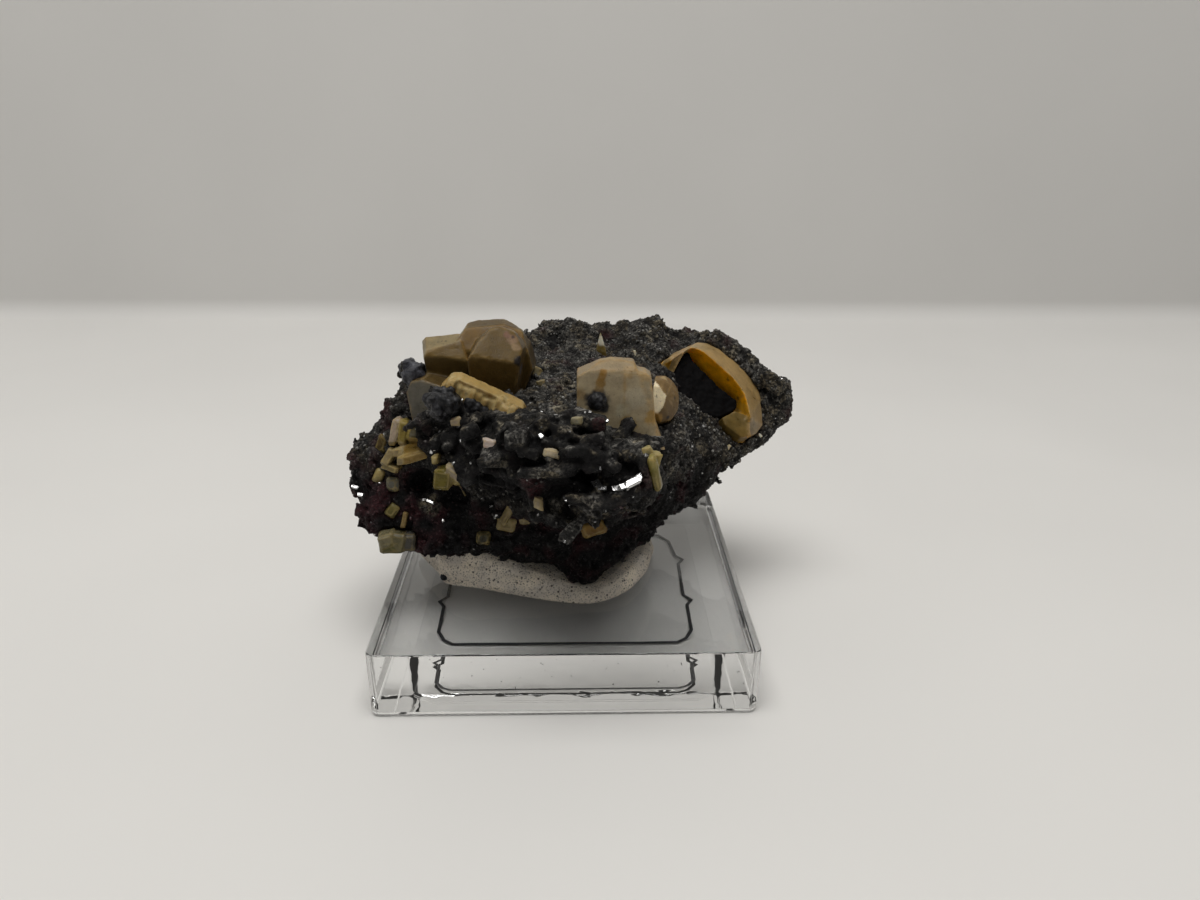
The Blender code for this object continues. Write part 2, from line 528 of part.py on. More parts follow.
def build_rock(cutters):
    bm = rock_body()
    bmesh.ops.recalc_face_normals(bm, faces=bm.faces)
    for centre, radii, turn in ROCK_LUMPS.values():
        add_lump(bm, centre, radii, turn)
    rock = add_object("matrix_rock", mesh_from(bm, "matrix_rock"), "rock")
    add_skin(rock)
    bake_modifiers(rock)
    hollows = []
    for title, (centre, radii) in ROCK_HOLLOWS.items():
        hollow = bmesh.new()
        add_lump(hollow, centre, radii, 0)
        hollows.append(add_object(title, mesh_from(hollow, title), "rock"))
    combine(rock, hollows, "DIFFERENCE")
    add_skin(rock)
    ease = rock.modifiers.new("ease", "SMOOTH")
    ease.factor = ROCK_EASE
    ease.iterations = ROCK_EASE_STEPS
    bake_modifiers(rock)
    roughen(rock.data)
    thin = rock.modifiers.new("thin", "DECIMATE")
    triangles = sum(len(p.vertices) - 2 for p in rock.data.polygons)
    thin.ratio = ROCK_TRIANGLES / triangles
    bake_modifiers(rock)
    combine(rock, cutters, "DIFFERENCE")
    keep_largest_body(rock)
    rock.data.materials.clear()
    rock.data.materials.append(make_material("rock"))


def crescent_solids(grow):
    """The right crystal's outer body and the block at its lower end."""
    up = Vector(CRESCENT_UP).normalized()
    body = list(CRESCENT_OUTER) + copy_shifted(CRESCENT_OUTER, -up * CRESCENT_ROOT)
    body += list(CRESCENT_RIDGE)
    heel = list(CRESCENT_HEEL) + copy_shifted(CRESCENT_HEEL, -up * HEEL_ROOT)
    return (add_object("crescent", hull_mesh("crescent", body, grow), "crystal"),
            add_object("heel", hull_mesh("heel", heel, grow), "crystal"))


def crescent_space():
    """The open space that faces the front between the right crystal's arms."""
    up = Vector(CRESCENT_UP).normalized()
    space = list(CRESCENT_RIDGE) + copy_shifted(CRESCENT_RIDGE, up * SPACE_ABOVE)
    for depth in SPACE_BELOW:
        space += copy_shifted(CRESCENT_INNER, -up * depth)
    space += copy_shifted(CRESCENT_INNER, SPACE_FRONT)
    return add_object("space", hull_mesh("space", space), "crystal")


def crescent_hollow():
    """The flat-bottomed hollow that is cut into the rock below the right crystal."""
    up = Vector(CRESCENT_UP).normalized()
    pocket = copy_shifted(CRESCENT_HOLLOW, up * CRESCENT_HOLLOW_HEIGHT)
    pocket += copy_shifted(CRESCENT_HOLLOW, -up * CRESCENT_HOLLOW_DEPTH)
    return add_object("pocket", hull_mesh("pocket", pocket), "crystal")


def crystal_pieces():
    """Every crystal as (name, material, list of corner lists); lists in one row grow together."""
    pieces = []
    grey = list(GREY_FACE) + copy_shifted(GREY_FACE, GREY_BACK)
    cluster = [facet_corners(*FACETED[key]) for key in ("upper left", "upper right", "behind")]
    pieces.append(("crystal_cluster_left", "crystal", cluster + [grey]))
    pieces.append(("crystal_blade", "pale crystal", [blade_corners()]))
    pieces.append(("crystal_centre", "pale crystal", [facet_corners(*FACETED["centre"])]))
    rim = list(ROUND_RIM) + list(ROUND_FACE)
    rim += copy_shifted(ROUND_RIM, ROUND_BACK)
    rim += copy_shifted(ROUND_RIM[4:], ROUND_ROOT)
    pieces.append(("crystal_round", "crystal", [rim]))
    pieces.append(("crystal_sliver", "pale crystal", [SLIVER_POINTS]))
    for name, shapes in SMALL_CRYSTALS.items():
        pieces.append((name, "crystal", [slab_corners(*shape) for shape in shapes]))
    return pieces


def build_crystals():
    """Makes the crystals and returns slightly larger copies that cut their seats in the rock."""
    seats = []
    for name, material, bodies in crystal_pieces():
        parts = [add_object(name + ".part", hull_mesh(name, body), material) for body in bodies]
        first = parts[0]
        if parts[1:]:
            combine(first, parts[1:], "UNION")
            keep_largest_body(first)
        first.name = name
        for body in bodies:
            seats.append(add_object("seat", hull_mesh("seat", body, GAP), material))
    crescent, heel = crescent_solids(0.0)
    combine(crescent, [crescent_space()], "DIFFERENCE")
    combine(crescent, [heel], "UNION")
    keep_largest_body(crescent)
    crescent.name = "crystal_right"
    seats.extend(crescent_solids(GAP))
    seats.append(crescent_hollow())
    return seats


clear_scene()
build_base()
build_film()
build_putty()
build_rock(build_crystals() + [build_putty("putty_seat", PUTTY_CLEARANCE)])
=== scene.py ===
import json
import math

import bmesh
import bpy
import numpy as np
from mathutils import Matrix, Quaternion, Vector, noise
from mathutils.bvhtree import BVHTree


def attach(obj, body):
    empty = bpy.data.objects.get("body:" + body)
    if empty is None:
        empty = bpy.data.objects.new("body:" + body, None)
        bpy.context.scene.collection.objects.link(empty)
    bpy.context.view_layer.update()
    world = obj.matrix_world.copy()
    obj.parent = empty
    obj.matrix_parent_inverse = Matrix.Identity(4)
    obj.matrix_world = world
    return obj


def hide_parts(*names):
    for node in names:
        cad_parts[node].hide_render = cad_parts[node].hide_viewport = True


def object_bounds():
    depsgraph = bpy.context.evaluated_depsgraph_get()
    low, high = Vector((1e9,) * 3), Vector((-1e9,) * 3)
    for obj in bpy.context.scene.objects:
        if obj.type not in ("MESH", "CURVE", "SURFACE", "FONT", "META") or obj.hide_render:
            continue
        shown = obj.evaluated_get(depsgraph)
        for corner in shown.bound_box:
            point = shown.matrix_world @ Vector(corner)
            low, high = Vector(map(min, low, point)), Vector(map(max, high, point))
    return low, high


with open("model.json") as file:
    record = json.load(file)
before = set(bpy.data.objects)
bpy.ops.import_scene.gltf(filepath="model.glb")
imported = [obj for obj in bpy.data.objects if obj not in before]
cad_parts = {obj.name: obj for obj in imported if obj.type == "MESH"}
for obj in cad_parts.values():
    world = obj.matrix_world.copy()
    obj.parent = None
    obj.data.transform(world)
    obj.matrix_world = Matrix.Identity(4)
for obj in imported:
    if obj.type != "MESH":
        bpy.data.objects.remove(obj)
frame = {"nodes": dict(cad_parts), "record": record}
cadLow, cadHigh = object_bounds()
mm = 0.001

# Camera: lens and sensor in mm, place in mm, angles in degrees, and the picture's size in pixels
camera = {"lens": 26.71, "sensor": 36.0, "place": (1.00, -90.51, 56.56),
          "pitch": 21.75, "roll": -0.51, "yaw": -1.76, "wide": 1200, "high": 900}


def cameraAxes():
    pitch, roll, yaw = (math.radians(camera[key]) for key in ("pitch", "roll", "yaw"))
    ahead = Vector((-math.sin(yaw) * math.cos(pitch), math.cos(yaw) * math.cos(pitch),
                    -math.sin(pitch)))
    right = Vector((math.cos(yaw), math.sin(yaw), 0.0))
    down = ahead.cross(right)
    return (right * math.cos(roll) + down * math.sin(roll),
            down * math.cos(roll) - right * math.sin(roll), ahead)


def addPiece(title, data):
    piece = bpy.data.objects.new(title, data)
    bpy.context.scene.collection.objects.link(piece)
    return piece


def makeCamera():
    right, down, ahead = cameraAxes()
    data = bpy.data.cameras.new("photoCamera")
    data.lens = camera["lens"]
    data.sensor_width = camera["sensor"]
    data.clip_start = 0.005
    data.clip_end = 10.0
    eye = addPiece("photoCamera", data)
    turn = Matrix((right, -down, -ahead)).transposed().to_4x4()
    eye.matrix_world = Matrix.Translation(Vector(camera["place"]) * mm) @ turn
    bpy.context.scene.camera = eye


# Ray from the camera through a picture point
def sightLine(across, below):
    right, down, ahead = cameraAxes()
    focal = camera["lens"] / camera["sensor"] * camera["wide"]
    side = (across - camera["wide"] / 2) / focal
    drop = (below - camera["high"] / 2) / focal
    return Vector(camera["place"]), (ahead + right * side + down * drop).normalized()


# Where the ray meets a plane, or a place some mm in front of it
def onPlane(across, below, through, normal, lift=0.0):
    start, way = sightLine(across, below)
    return start + way * (((through - start).dot(normal) - lift) / way.dot(normal))


# The place where a picture point falls on a surface, or None
def seenOn(surface, across, below):
    start, way = sightLine(across, below)
    place = surface.ray_cast(start * mm, way)[0]
    return None if place is None else place / mm


# The same place, lifted towards the camera by some mm
def frontOf(surface, across, below, lift):
    place = seenOn(surface, across, below)
    return place + (Vector(camera["place"]) - place).normalized() * lift


# The place seen at a picture point, as deep as the middle of a CAD node
def asDeepAs(node, across, below, lift):
    corners = [Vector(corner) for corner in frame["nodes"][node].bound_box]
    middle = sum(corners, Vector()) / len(corners) / mm
    return onPlane(across, below, middle, cameraAxes()[2], lift)


# Small modelling helpers

def takeUp(piece=None):
    if bpy.context.object and bpy.context.object.mode != "OBJECT":
        bpy.ops.object.mode_set(mode="OBJECT")
    bpy.ops.object.select_all(action="DESELECT")
    if piece:
        piece.select_set(True)
        bpy.context.view_layer.objects.active = piece


def editAll(piece):
    takeUp(piece)
    bpy.ops.object.mode_set(mode="EDIT")
    bpy.ops.mesh.select_all(action="SELECT")


def backToObject():
    bpy.ops.object.mode_set(mode="OBJECT")


def surfaceOf(pieces):
    shape = bmesh.new()
    for piece in pieces:
        shape.from_mesh(piece.data)
    tree = BVHTree.FromBMesh(shape)
    shape.free()
    return tree


def copyNode(node, title):
    piece = addPiece(title, frame["nodes"][node].data.copy())
    piece.data.materials.clear()
    editAll(piece)
    bpy.ops.mesh.remove_doubles(threshold=0.002 * mm)
    bpy.ops.mesh.customdata_custom_splitnormals_clear()
    backToObject()
    return piece


def joinInto(piece, others):
    takeUp(piece)
    for other in others:
        other.select_set(True)
    bpy.ops.object.join()


def applyAll(piece):
    takeUp(piece)
    for modifier in list(piece.modifiers):
        bpy.ops.object.modifier_apply(modifier=modifier.name)


# One closed skin round everything in the piece
def skinOver(piece, voxel):
    skin = piece.modifiers.new("skin", "REMESH")
    skin.mode = "VOXEL"
    skin.voxel_size = voxel * mm
    applyAll(piece)


def readRows(mesh, what="co"):
    values = np.empty(len(mesh.vertices) * 3)
    mesh.vertices.foreach_get(what, values)
    return values.reshape(-1, 3)


# A piece's points in mm, and their normals
def pointsOf(piece):
    return readRows(piece.data) / mm, readRows(piece.data, "normal")


def movePoints(piece, points):
    piece.data.vertices.foreach_set("co", (points * mm).reshape(-1))
    piece.data.update()


# Eases points that pass the CAD box back to its faces
def keepIn(points):
    margin = 1.5
    for axis in range(3):
        column = points[:, axis]
        for side, wall in ((1, cadHigh[axis] / mm), (-1, -cadLow[axis] / mm)):
            over = (column * side).max() - wall
            if over > 0:
                start = wall - margin
                far = column * side > start
                past = (column[far] * side - start) * margin / (margin + over)
                column[far] = side * (start + past)
    return points


# Gives a finished piece its material and its place in the frame
def settle(piece, material, slot, *nodes, soft=False):
    if soft:
        takeUp(piece)
        bpy.ops.object.shade_smooth()
    piece.data.materials.clear()
    piece.data.materials.append(material)
    if nodes:
        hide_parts(*nodes)
    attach(piece, "root")
    print(piece.name, len(piece.data.polygons), "faces")


def smooth(low, high, value):
    share = np.clip((value - low) / (high - low), 0.0, 1.0)
    return share * share * (3 - 2 * share)


def unit(rows):
    return rows / np.maximum(np.linalg.norm(rows, axis=1), 1e-9)[:, None]


def gapTo(points, place):
    return np.linalg.norm(points - np.array(place), axis=1)


# Soft noise in -1..1 at points in mm, with lumps of the given size
def noiseAt(points, size, shift=0.0):
    move = Vector((shift, shift * 1.7, -shift))
    return np.array([noise.noise(Vector(p) / size + move) for p in points])


# Distance to the nearest cell centre, 0 at a centre and near 1 between cells
def cellsAt(points, size, shift=0.0):
    move = Vector((shift, -shift, shift * 0.6))
    return np.array([noise.voronoi(Vector(p) / size + move)[0][0] for p in points])


# 1 where a point is within the gap of a surface, else 0
def nearTo(points, surface, gap):
    return np.array([float(surface.find_nearest(Vector(p) * mm, gap * mm)[0] is not None)
                     for p in points])


def giveNumbers(mesh, **columns):
    for title, values in columns.items():
        layer = mesh.attributes.new(title, "FLOAT", "POINT")
        layer.data.foreach_set("value", np.asarray(values, dtype=np.float32))


# Node helpers: those that are handed a socket add their node to its tree

def isSocket(value):
    return isinstance(value, bpy.types.NodeSocket)


def newMaterial(title):
    material = bpy.data.materials.new(title)
    material.use_nodes = True
    tree = material.node_tree
    tree.nodes.clear()
    out = tree.nodes.new("ShaderNodeOutputMaterial")
    shader = tree.nodes.new("ShaderNodeBsdfPrincipled")
    tree.links.new(shader.outputs["BSDF"], out.inputs["Surface"])
    return material, shader


# Sets inputs of a node: sockets are linked, colours and numbers are set
def feed(node, inputs):
    for key, value in inputs.items():
        if isSocket(value):
            node.id_data.links.new(value, node.inputs[key])
        else:
            node.inputs[key].default_value = value


def addNode(tree, kind, inputs=None, **settings):
    node = tree.nodes.new(kind)
    for key, value in settings.items():
        setattr(node, key, value)
    feed(node, inputs or {})
    return node


def objectPlace(shader):
    return addNode(shader.id_data, "ShaderNodeTexCoord").outputs["Object"]


def readMask(shader, title, output="Fac"):
    return addNode(shader.id_data, "ShaderNodeAttribute", attribute_name=title).outputs[output]


def softNoise(place, size, detail=3.0, rough=0.55):
    return addNode(place.id_data, "ShaderNodeTexNoise",
                   {"Vector": place, "Scale": 1 / (size * mm), "Detail": detail,
                    "Roughness": rough}).outputs["Fac"]


def cellNoise(place, size, output="Distance"):
    return addNode(place.id_data, "ShaderNodeTexVoronoi",
                   {"Vector": place, "Scale": 1 / (size * mm)}).outputs[output]


# One channel of a random colour for each cell
def cellShade(place, size, channel):
    return addNode(place.id_data, "ShaderNodeSeparateColor",
                   {"Color": cellNoise(place, size, "Color")}).outputs[channel]


def spread(value, low, high, newLow=0.0, newHigh=1.0):
    return addNode(value.id_data, "ShaderNodeMapRange",
                   {"Value": value, "From Min": low, "From Max": high, "To Min": newLow,
                    "To Max": newHigh}).outputs["Result"]


def combine(first, second, how="MULTIPLY"):
    return addNode(first.id_data, "ShaderNodeMath", {0: first, 1: second},
                   operation=how).outputs[0]


def full(colour):
    return colour if isSocket(colour) else (*colour, 1.0)


def blend(share, first, second, how="MIX"):
    tree = next(value.id_data for value in (share, first, second) if isSocket(value))
    return addNode(tree, "ShaderNodeMix", {0: share, 6: full(first), 7: full(second)},
                   data_type="RGBA", blend_type=how).outputs[2]


# A colour times a number
def shaded(colour, shade):
    grey = addNode(shade.id_data, "ShaderNodeCombineColor",
                   {"Red": shade, "Green": shade, "Blue": shade}).outputs["Color"]
    return blend(1.0, colour, grey, "MULTIPLY")


def relief(height, strength, depth):
    return addNode(height.id_data, "ShaderNodeBump", {"Height": height, "Strength": strength,
                                                      "Distance": depth * mm}).outputs["Normal"]


# Shapes used more than once

# A small shape: its points in units of one, and its faces
def takeShape():
    item = bpy.context.object
    shape = readRows(item.data).copy()
    faces = [tuple(face.vertices) for face in item.data.polygons]
    bpy.data.objects.remove(item)
    return shape, faces


def blockShape():
    takeUp()
    bpy.ops.mesh.primitive_cube_add(size=1.0)
    bpy.ops.object.mode_set(mode="EDIT")
    bpy.ops.mesh.bevel(offset=0.14, segments=1, affect="EDGES")
    backToObject()
    return takeShape()


def ballShape(steps):
    takeUp()
    bpy.ops.mesh.primitive_ico_sphere_add(subdivisions=steps, radius=1.0)
    return takeShape()


# A mesh from points in metres
def pieceFrom(title, points, faces):
    mesh = bpy.data.meshes.new(title)
    mesh.from_pydata(points, [], faces)
    return addPiece(title, mesh)


# Right-angled axes round each up direction, turned at random about it
def axesFrom(up, dice):
    other = unit(np.cross(up, dice.normal(size=up.shape)))
    return np.stack((other, np.cross(up, other), up), axis=1)


# Axes of a block that lies across the picture, rolled by an angle and tipped back by another
def pictureAxes(roll, tip=0.0):
    right, down, ahead = cameraAxes()
    level = Quaternion(ahead, math.radians(-roll))
    along = level @ right
    up = Quaternion(along, math.radians(tip)) @ (level @ -down)
    return along, along.cross(up), up


# Copies of one small shape in one mesh, each with its own axes and size
def repeatShape(title, shape, places, axes, sizes, jitter=0.0, dice=None):
    points, faces = shape
    places, axes, sizes = (np.array(rows) for rows in (places, axes, sizes))
    count, corners = len(places), len(points)
    local = points[None] * sizes[:, None]
    if jitter:
        local = local * (1 + jitter * dice.normal(size=(count, corners, 1)))
    world = np.einsum("nsk,nkj->nsj", local, axes) + places[:, None]
    allFaces = [tuple(v + n * corners for v in face) for n in range(count) for face in faces]
    return pieceFrom(title, (keepIn(world.reshape(-1, 3)) * mm).tolist(), allFaces)


def heading(turn, rise):
    turn, rise = math.radians(turn), math.radians(rise)
    return Vector((math.cos(turn) * math.cos(rise), math.sin(turn) * math.cos(rise),
                   math.sin(rise)))


# Convex blocks grown together: each is a cube cut by planes, as (turn, rise, reach in mm)
def cutBlocks(title, blocks, size=16.0):
    pieces = []
    for centre, facets in blocks:
        takeUp()
        bpy.ops.mesh.primitive_cube_add(size=size * mm, location=Vector(centre) * mm)
        bpy.ops.object.transform_apply(location=True, rotation=False, scale=False)
        piece = bpy.context.object
        piece.name = title
        for turn, rise, reach in facets:
            way = heading(turn, rise)
            editAll(piece)
            bpy.ops.mesh.bisect(plane_co=(Vector(centre) + way * reach) * mm, plane_no=way,
                                use_fill=True, clear_outer=True, threshold=1e-6)
            backToObject()
        pieces.append(piece)
    joinInto(pieces[0], pieces[1:])
    return pieces[0]


# A slab: an outline and the same outline moved back
def slabFrom(title, outline, back):
    count = len(outline)
    front = [Vector(p) for p in outline]
    sides = [(i, i + count, (i + 1) % count + count, (i + 1) % count) for i in range(count)]
    faces = [tuple(range(count)), tuple(range(2 * count - 1, count - 1, -1))] + sides
    points = front + [p + Vector(back) for p in front]
    piece = pieceFrom(title, [p * mm for p in points], faces)
    editAll(piece)
    bpy.ops.mesh.normals_make_consistent(inside=False)
    backToObject()
    return piece


# Random places on a piece, each with the normal there
def spreadOver(piece, count, dice, wanted):
    mesh = piece.data
    mesh.calc_loop_triangles()
    corners = np.empty(len(mesh.loop_triangles) * 3, dtype=np.int64)
    mesh.loop_triangles.foreach_get("vertices", corners)
    triangles = readRows(mesh)[corners.reshape(-1, 3)] / mm
    sideA = triangles[:, 1] - triangles[:, 0]
    sideB = triangles[:, 2] - triangles[:, 0]
    cross = np.cross(sideA, sideB)
    area = np.linalg.norm(cross, axis=1)
    normals = cross / np.maximum(area, 1e-12)[:, None]
    weight = area * wanted(triangles.mean(axis=1), normals)
    chosen = dice.choice(len(area), size=count, p=weight / weight.sum())
    a, b = dice.random((2, count))
    flip = a + b > 1
    a[flip], b[flip] = 1 - a[flip], 1 - b[flip]
    places = triangles[chosen, 0] + sideA[chosen] * a[:, None] + sideB[chosen] * b[:, None]
    return places, normals[chosen]


# Rock

rockLook = {"voxel": 0.20, "core": 0.5, "grow": 0.34, "reach": 0.65, "cutAt": -0.3,
            "charcoal": (0.0045, 0.0042, 0.0046), "grey": (0.22, 0.21, 0.19),
            "olive": (0.19, 0.16, 0.11), "cream": (0.36, 0.32, 0.24),
            "maroon": (0.045, 0.009, 0.012), "cavity": 2.4, "lumpHigh": 0.17, "cellHigh": 0.10,
            "grainHigh": 0.17, "plateTip": 18.0, "plateJitter": 0.1, "plateSeed": 12}

# Hollows in the rock that the picture shows: across and below in pixels, radius and depth in mm
# (a lump where the depth is negative)
rockPits = (
    (572, 485, 2.5, 2.1), (553, 489, 1.6, 1.2), (438, 440, 1.6, 1.4), (462, 466, 1.4, 1.0),
    (431, 420, 1.3, 1.1), (668, 380, 1.5, 1.0), (455, 496, 2.3, 1.7), (420, 480, 2.2, 1.5),
    (505, 455, 0.9, 0.8), (530, 447, 1.0, 0.8), (566, 445, 1.2, 0.9), (527, 404, 1.5, 1.0),
    (548, 399, 0.9, 0.7), (596, 450, 1.2, 0.8), (630, 462, 1.4, 0.9), (500, 486, 1.4, 0.9),
    (470, 448, 1.0, 0.8), (480, 428, 1.0, 0.7), (560, 425, 0.8, 0.6),
    (574, 332, 2.6, -0.8), (646, 331, 3.0, -0.9), (608, 340, 2.0, 0.7), (697, 340, 2.4, -0.5),
    (676, 334, 1.2, 0.5), (556, 345, 1.6, 0.5), (770, 392, 2.6, -0.5), (742, 370, 1.6, 0.5),
)

# Angular blocks grown on the rock: how many, their width, length and height in mm, how level
# they lie, how far they may stand out, and the seed
blockLook = {
    "front": {"count": 330, "wide": (0.9, 2.9), "long": (0.8, 1.9), "high": (0.4, 1.1),
              "level": 1.3, "wild": 0.55, "lift": 1.35, "seed": 3},
    "left": {"count": 300, "wide": (0.6, 1.9), "long": (0.5, 1.4), "high": (0.25, 0.7),
             "level": 0.2, "wild": 0.7, "lift": 0.45, "seed": 4},
    "wall": {"count": 800, "wide": (0.35, 1.3), "long": (0.3, 0.9), "high": (0.25, 0.6),
             "level": 0.0, "wild": 1.2, "lift": 0.25, "seed": 6},
    "top": {"count": 2600, "wide": (0.3, 1.1), "long": (0.25, 0.7), "high": (0.2, 0.5),
            "level": 0.0, "wild": 0.8, "lift": 0.12, "seed": 8},
}

# Single plates and lumps of the crust, placed where the picture shows them: across and below in
# pixels, width, height and depth in mm, and roll in degrees
crustPlates = (
    (546, 472, 5.0, 0.75, 2.2, 2), (494, 461, 3.1, 0.8, 1.8, 0), (629, 450, 3.8, 0.8, 2.0, 24),
    (588, 499, 4.0, 0.7, 1.8, -4), (583, 516, 4.6, 0.6, 2.4, 6), (634, 511, 4.2, 0.5, 2.6, 12),
    (558, 411, 2.6, 1.0, 1.6, 8), (566, 397, 2.4, 0.7, 1.6, 18), (556, 384, 2.6, 0.5, 1.4, 22),
    (543, 424, 1.3, 1.3, 1.2, 30), (517, 438, 2.2, 1.6, 1.6, 12), (596, 424, 1.8, 1.5, 1.4, -6),
    (581, 421, 1.3, 1.2, 1.2, 10), (612, 409, 1.3, 0.9, 1.2, -20), (470, 431, 1.8, 1.2, 1.4, 20),
    (450, 437, 1.6, 1.1, 1.2, -10), (606, 506, 3.4, 0.5, 2.2, 3), (566, 508, 2.8, 0.5, 1.8, 2),
    (620, 496, 2.6, 0.6, 1.6, 16), (528, 452, 1.9, 0.9, 1.4, -8), (577, 452, 2.2, 0.9, 1.4, 4),
    (592, 440, 2.0, 0.9, 1.4, 14), (562, 432, 1.6, 1.0, 1.2, -12), (645, 424, 1.4, 1.6, 1.2, 40),
)

# Lumps of rock behind the crescent: across and below in pixels, mm behind its middle
backLumps = {"size": (3.4, 3.2, 1.9), "roll": -34, "tip": 10.0,
             "at": ((724, 343, 2.2), (734, 351, 2.4), (744, 360, 2.6), (753, 368, 2.6),
                    (762, 375, 2.4), (770, 382, 2.0))}

# Patches on the rock: across and below in pixels, radius in mm, how pale and how red
# Those with pale 0 are painted shade in hollows; the paler ones are partly the crust's own tone and partly
# painted sheen on plate tops
rockToneAndShadePatches = (
    (558, 411, 1.2, 1.7, 0.0), (581, 421, 0.8, 1.9, 0.0), (566, 397, 1.0, 1.2, 0.0),
    (588, 499, 1.4, 1.0, 0.0), (546, 472, 1.8, 0.9, 0.0), (543, 424, 0.7, 1.3, 0.0),
    (600, 424, 0.9, 0.5, 1.0), (530, 486, 1.5, 0.3, 1.0), (649, 480, 1.3, 0.6, 0.7),
    (629, 450, 1.3, 0.9, 0.0), (583, 516, 1.5, 1.0, 0.0), (517, 438, 1.0, 1.0, 0.0),
    (580, 482, 2.2, 0.0, 0.0), (455, 495, 2.2, 0.0, 0.0), (540, 378, 1.5, 1.8, 0.0),
    (420, 481, 2.1, 0.0, 0.0), (606, 512, 1.6, 1.1, 0.0), (634, 512, 1.5, 0.8, 0.3),
    (430, 504, 1.6, 1.1, 0.0), (392, 480, 1.0, 0.8, 0.2), (497, 461, 1.4, 0.8, 0.0),
    (545, 405, 1.0, 1.2, 0.0), (556, 384, 1.0, 1.1, 0.0), (612, 436, 1.4, 0.7, 0.0),
)


# Where each zone of the rock starts and is whole, in mm: the front hump and the low wall by depth
# and height, and the left end by its distance to the left
zoneEdges = {"hump": (-6.5, -10.0), "humpHigh": (19.0, 22.0), "wall": (3.0, -2.0),
             "wallHigh": (21.0, 17.5), "left": (-11.5, -15.0)}


# Shares from 0 to 1 of the front hump, the low wall and the left end
def rockZones(points):
    across, depth, height = points.T
    front = smooth(*zoneEdges["hump"], depth) * smooth(*zoneEdges["humpHigh"], height)
    low = smooth(*zoneEdges["wallHigh"], height) * smooth(*zoneEdges["wall"], depth)
    return front, low, smooth(*zoneEdges["left"], across)


# How red the rock is at points in mm
def redAt(points, low, left):
    return np.clip(1.6 * noiseAt(points, 2.0, 21.0) + 0.45 * low + 0.5 * left - 0.5, 0, 1)


def rockMaterial():
    material, shader = newMaterial("gossan")
    place = objectPlace(shader)
    shade = cellShade(place, 0.26, "Red")
    lumps = cellShade(place, 1.5, "Green")
    fine = softNoise(place, 0.30, 6.0, 0.8)
    light = combine(spread(shade, 0.2, 1.0, 0.25, 1.35), spread(fine, 0.42, 0.60, 0.04, 1.25))
    # pale brings in the rock's own tone together with the painted shade and highlight set in roughen
    light = combine(light, readMask(shader, "pale"))
    kind = blend(spread(lumps, 0.35, 0.75), rockLook["grey"], rockLook["olive"])
    kind = blend(spread(lumps, 0.88, 0.95), kind, rockLook["cream"])
    redness = combine(readMask(shader, "red"), spread(fine, 0.38, 0.62, 0.1, 1.0))
    colour = blend(redness, blend(light, rockLook["charcoal"], kind), rockLook["maroon"])
    jagged = softNoise(place, 0.45, 8.0, 0.85)
    height = combine(jagged, combine(cellNoise(place, 0.3), 0.3), "SUBTRACT")
    feed(shader, {"Base Color": colour, "Roughness": spread(shade, 0.0, 1.0, 0.85, 0.42),
                  "Normal": relief(height, 1.0, 0.20), "Specular IOR Level": 0.2})
    return material


# Wears hollows and folds into the rock, less where a crystal or the putty stands near
def wearHollows(rock, neighbours, pits):
    points, normals = pointsOf(rock)
    front, low, left = rockZones(points)
    deep = smooth(0.02, 0.42, noiseAt(points, 2.1, 31.0)) * (0.2 + 0.9 * front + 0.5 * low + 0.6 * left)
    ridges = 0.35 - np.abs(noiseAt(points * (0.55, 1.0, 1.0), 3.6, 14.0))
    deep += 0.95 * front - ridges * (1 - front)
    deep *= 1 - nearTo(points, neighbours, 0.9)
    for place, radius, depth in pits:
        deep += depth * smooth(1.0, 0.35, gapTo(points, place) / radius)
    movePoints(rock, points - normals * deep[:, None])


# Angular blocks and plates on the rock, fused with it later
def addBlocks(rock, neighbours, pits, plain):
    wanted = {
        "front": lambda at, facing: rockZones(at)[0] * (facing[:, 2] > -0.7) + 1e-9,
        "left": lambda at, facing: rockZones(at)[2] * (facing[:, 1] < 0.5) + 1e-9,
        "wall": lambda at, facing: np.maximum(rockZones(at)[1], 0.6 * (facing[:, 2] < 0.0)) + 1e-9,
        "top": lambda at, facing: (facing[:, 2] > -0.1) * (1 - rockZones(at)[0]) + 1e-9,
    }
    shape = blockShape()
    parts = []
    for zone, look in blockLook.items():
        dice = np.random.default_rng(look["seed"])
        places, normals = spreadOver(rock, look["count"], dice, wanted[zone])
        keep = nearTo(places, neighbours, 0.45 + 0.3 * max(look["high"])) < 0.5
        for place, radius, depth in pits:
            keep &= (gapTo(places, place) > 0.95 * radius) | (depth < 0)
        places, normals = places[keep], normals[keep]
        count = len(places)
        up = unit(normals + np.array((0, 0, 1.0)) * look["level"]
                  + dice.normal(size=(count, 3)) * look["wild"])
        sizes = np.stack([dice.uniform(*look[key], count) for key in ("wide", "long", "high")], 1)
        places += normals * (dice.uniform(-0.15, 1.0, count) * look["lift"])[:, None]
        parts.append(repeatShape("blocks", shape, places, axesFrom(up, dice), sizes, 0.08, dice))
    dice, jitter = np.random.default_rng(rockLook["plateSeed"]), rockLook["plateJitter"]
    rows = [(seenOn(plain, across, below), pictureAxes(roll, rockLook["plateTip"]), (wide, deep, high))
            for across, below, wide, high, deep, roll in crustPlates]
    rows = [row for row in rows if row[0] is not None]
    parts.append(repeatShape("plates", shape, *zip(*rows), jitter, dice))
    axes = pictureAxes(backLumps["roll"], backLumps["tip"])
    rows = [(asDeepAs("crystal_right", across, below, -back), axes, backLumps["size"])
            for across, below, back in backLumps["at"]]
    parts.append(repeatShape("lumps", shape, *zip(*rows), jitter, dice))
    joinInto(rock, parts)


